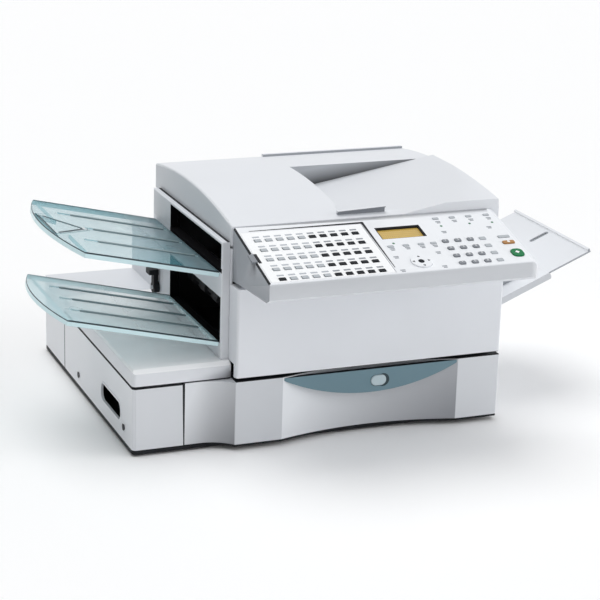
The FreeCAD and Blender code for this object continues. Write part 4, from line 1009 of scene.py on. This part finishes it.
def panelMarks(look):
    # captions as pairs of plain bars, and small domed lamps
    shape = bmesh.new()
    for length, up in look["lines"]:
        bar = padMesh(length, look["width"], look["thick"], 0.4)
        for u, v in look["bars"]:
            stamp(shape, bar, onPanel(u, v + up, -sink), 0)
    dome = bmesh.new()
    bmesh.ops.create_uvsphere(dome, u_segments=16, v_segments=8, radius=look["lampRadius"] * mm)
    bmesh.ops.scale(dome, vec=(1, 1, 0.5), verts=dome.verts)
    lamp = bpy.data.meshes.new("lamp")
    dome.to_mesh(lamp)
    dome.free()
    for u, v in look["lamps"]:
        stamp(shape, lamp, onPanel(u, v, 0), 1)
    return finishPiece("panel_marks", shape, ["printAndShadeGrey", "lampGreen"], "chassis")


panelMarks(panelMarkSet)

dialSet = {
    "keys": {
        "one": "1", "two": "2", "three": "3", "four": "4", "five": "5", "six": "6", "seven": "7",
        "eight": "8", "nine": "9", "star": "*", "zero": "0", "hash": "#",
    },
    "rise": 1.78, "size": 5.4, "thick": 0.1,
}


def dialMarks(look):
    # one numeral on each dial key
    for key, text in look["keys"].items():
        node = "dial_key_" + key
        low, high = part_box(node)
        centre = panelSpot((low + high) / 2)
        shape = bmesh.new()
        stamp(shape, glyphMesh(text, look["size"], look["thick"]), onPanel(centre.x, centre.y, look["rise"]))
        finishPiece("numeral_" + key, shape, ["printAndHighlightWhite"], bodyOf[node])


dialMarks(dialSet)

commandSet = {
    "keys": {"start_key": (4, 3.6, 0.0), "stop_key": (8, 2.4, math.pi / 8)},
    "rise": 1.78, "thick": 0.12, "taper": 0.97,
}


def commandMarks(look):
    # a diamond on the start key and an eight-sided mark on the stop key: sides, radius and turn
    for node, (sides, radius, turn) in look["keys"].items():
        low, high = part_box(node)
        centre = panelSpot((low + high) / 2)
        shape = bmesh.new()
        mark = discMesh(radius, look["thick"], sides, look["taper"])
        stamp(shape, mark, onPanel(centre.x, centre.y, look["rise"], turn))
        finishPiece(node + "_mark", shape, ["printAndHighlightWhite"], bodyOf[node])


commandMarks(commandSet)

padSet = {
    "u": 231.0, "v": 24.0, "rise": 1.75, "ring": 11.2, "arrow": 2.5, "arrowThick": 0.2, "arrowTaper": 0.94,
    "centre": 4.6, "dish": 0.98, "centreThick": 0.7, "centreTaper": 0.9,
}


def padMarks(look):
    # four arrow heads round a dark centre button
    shape = bmesh.new()
    arrow = discMesh(look["arrow"], look["arrowThick"], 3, look["arrowTaper"])
    for step in range(4):
        turn = step * math.pi / 2
        u = look["u"] + look["ring"] * math.cos(turn)
        v = look["v"] + look["ring"] * math.sin(turn)
        stamp(shape, arrow, onPanel(u, v, look["rise"], turn - math.pi / 2))
    button = discMesh(look["centre"], look["centreThick"], 32, look["centreTaper"])
    stamp(shape, button, onPanel(look["u"], look["v"], look["dish"]))
    return finishPiece("pad_marks", shape, ["keysDark"], bodyOf["navigation_pad"])


padMarks(padSet)
print("panel marks made")

# painted shade and highlight on the outside: the side tray's slot, tray ribs, flap edges and tip, screw rings
# and button shade

bypassSet = {
    "hinge": (414, 0, 148), "tilt": 22.6, "from": 161.0, "to": 190.0,
    "width": 4.0, "border": 2.4, "rise": 0.25,
}


def ringMesh(length, width, border, height):
    # a flat frame round a slot: a half turn at each end, with straight runs between them
    shape = bmesh.new()
    end = (length - width) / 2 * mm
    inner = shape.verts.new((end, -width / 2 * mm, 0))
    outer = shape.verts.new((end, -(width / 2 + border) * mm, 0))
    front = [inner, outer, shape.edges.new((inner, outer))]
    for side in (1, -1):
        turned = bmesh.ops.spin(
            shape, geom=front, cent=(side * end, 0, 0), axis=(0, 0, 1),
            angle=math.pi, steps=8, use_merge=False,
        )
        front = turned["geom_last"]
        if end > 0:
            edges = [item for item in front if isinstance(item, bmesh.types.BMEdge)]
            front = bmesh.ops.extrude_edge_only(shape, edges=edges)["geom"]
            moved = [item for item in front if isinstance(item, bmesh.types.BMVert)]
            bmesh.ops.translate(shape, vec=(-2 * side * end, 0, 0), verts=moved)
            front = [item for item in front if not isinstance(item, bmesh.types.BMFace)]
    bmesh.ops.remove_doubles(shape, verts=shape.verts, dist=1e-6)
    thicken(shape, (0, 0, height * mm))
    mesh = bpy.data.meshes.new("ring")
    shape.to_mesh(mesh)
    shape.free()
    return mesh


def bypassSlot(look):
    # painted shade in the finger slot of the side tray's extension: a dark floor and a grey rim
    low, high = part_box("bypass_extension")
    place = Matrix.Translation(spot(*look["hinge"])) @ Matrix.Rotation(-math.radians(look["tilt"]), 4, "Y")
    inner = [place.inverted() @ vert.co for vert in frame["nodes"]["bypass_extension"].data.vertices]
    foot = min(point.z for point in inner)
    crown = max(point.z for point in inner if point.x < look["from"] * mm)
    middleX = (look["from"] + look["to"]) / 2 * mm
    middleY = (low.y + high.y) / 2 - place.translation.y
    shape = bmesh.new()
    floor = padMesh(look["to"] - look["from"] - 0.1, look["width"] - 0.1, 0.6, 0.3)
    stamp(shape, floor, place @ Matrix.Translation((middleX, middleY, foot + 0.2 * mm)))
    rim = ringMesh(look["to"] - look["from"], look["width"], look["border"], look["rise"])
    stamp(shape, rim, place @ Matrix.Translation((middleX, middleY, crown - sink * mm)), 1)
    finishNames = ["blackPlasticAndShade", "printAndShadeGrey"]
    return finishPiece("extension_slot", shape, finishNames, "bypass_extension")


bypassSlot(bypassSet)

ribSet = {
    "rows": {
        "document_tray": [(112.5, 158), (185.0, 144), (257.5, 158)],
        "print_tray": [(94.25, 190), (150.5, 186), (206.75, 190)],
    },
    "end": 12.0, "width": 6.4, "height": 1.8, "round": 0.9,
}


def ribMesh(length, look):
    # a low bar with rounded ends and a rounded back
    mesh = padMesh(length, look["width"], look["height"], look["width"] * 0.45)
    shape = bmesh.new()
    shape.from_mesh(mesh)
    nearTop = look["height"] * mm * 0.99
    crown = [edge for edge in shape.edges if min(vert.co.z for vert in edge.verts) > nearTop]
    bmesh.ops.bevel(
        shape, geom=crown, offset=look["round"] * mm, offset_type="OFFSET", segments=2, profile=0.5,
        affect="EDGES", material=-1,
    )
    shape.to_mesh(mesh)
    shape.free()
    return mesh


# painted shade: broad dark ribs laid over the trays' own ribs
def trayRibs(node, look):
    place = trayPlace(node)
    shape = bmesh.new()
    for y, start in look["rows"][node]:
        middleX = -(start + look["end"]) / 2
        rib = ribMesh(start - look["end"], look)
        stamp(shape, rib, place @ Matrix.Translation(Vector((middleX, y, -0.2)) * mm))
    return finishPiece(node + "_ribs", shape, ["ribShadeTeal"], bodyOf[node])


for node in trayRise:
    trayRibs(node, ribSet)

flapSet = {"base": (-207, 135.5, 226.5), "tip": (-158, 181), "width": 3.2, "height": 0.5, "pad": (6.5, 4.6)}


def flapMarks(look):
    # dark edges painted as the shade round the flap in the upper tray, and a white tip as a painted highlight
    place = trayPlace("document_tray")
    baseX, near, far = look["base"]
    tip = Vector((*look["tip"], 0))
    shape = bmesh.new()
    for y in (near, far):
        heel = Vector((baseX, y, 0))
        run = tip - heel
        bar = padMesh(run.length, look["width"], look["height"], 1.2)
        turn = Matrix.Rotation(math.atan2(run.y, run.x), 4, "Z")
        stamp(shape, bar, place @ Matrix.Translation(((heel + tip) / 2 - Vector((0, 0, 0.05))) * mm) @ turn)
    pad = padMesh(*look["pad"], look["height"] + 0.1, 1.6)
    stamp(shape, pad, place @ Matrix.Translation((tip + Vector((1.0, 0, -sink))) * mm), 1)
    return finishPiece("flap_marks", shape, ["edgeShadeTeal", "printAndHighlightWhite"], bodyOf["document_stop"])


flapMarks(flapSet)

wellSet = {"head": 5.6, "border": 2.2, "rise": 0.25}


def screwWells(look):
    # dark rings painted round the two screw heads in the deck's left end, as the shade in their wells
    heads = [vert.co for vert in frame["nodes"]["cover_screws"].data.vertices]
    low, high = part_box("cover_screws")
    halfway = (low.y + high.y) / 2
    ring = ringMesh(look["head"], look["head"], look["border"], look["rise"])
    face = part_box("deck_frame")[0].x + sink * mm
    outward = Matrix.Rotation(-math.pi / 2, 4, "Y")
    shape = bmesh.new()
    for near in (True, False):
        head = [point for point in heads if (point.y < halfway) == near]
        y = (min(point.y for point in head) + max(point.y for point in head)) / 2
        z = (min(point.z for point in head) + max(point.z for point in head)) / 2
        stamp(shape, ring, Matrix.Translation((face, y, z)) @ outward)
    return finishPiece("screw_wells", shape, ["blackPlasticAndShade"], bodyOf["cover_screws"])


screwWells(wellSet)

shadeSet = {
    "radius": 8.2, "half": 4.0, "reach": 4.6, "tip": 0.05, "sweep": 100.0, "steps": 24, "thick": 0.25,
}


def buttonShade(look):
    # dark crescent at the right end of the button's pocket in the handle
    low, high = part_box("cassette_button")
    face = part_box("cassette_handle")[0].y
    centre = Vector(((low.x + high.x) / 2 + look["half"] * mm, face, (low.z + high.z) / 2))
    sweep = math.radians(look["sweep"])
    start = Vector((math.cos(sweep), 0, -math.sin(sweep)))
    shape = bmesh.new()
    inner = shape.verts.new(centre + start * look["radius"] * mm)
    outer = shape.verts.new(centre + start * (look["radius"] + look["reach"]) * mm)
    bmesh.ops.spin(
        shape, geom=[inner, outer, shape.edges.new((inner, outer))], cent=centre, axis=(0, -1, 0),
        angle=2 * sweep, steps=look["steps"], use_merge=False,
    )
    for vert in shape.verts:
        way = vert.co - centre
        if way.length > (look["radius"] + look["tip"]) * mm:
            turn = math.atan2(way.z, way.x)
            swell = look["reach"] * math.cos(turn * math.pi / 2 / sweep) + look["tip"]
            vert.co = centre + way.normalized() * (look["radius"] + swell) * mm
    thicken(shape, (0, -look["thick"] * mm, 0))
    return finishPiece("button_shade", shape, ["edgeShadeTeal"], bodyOf["cassette_handle"])


buttonShade(shadeSet)
print("slot, ribs, flap, rings and button shade made")
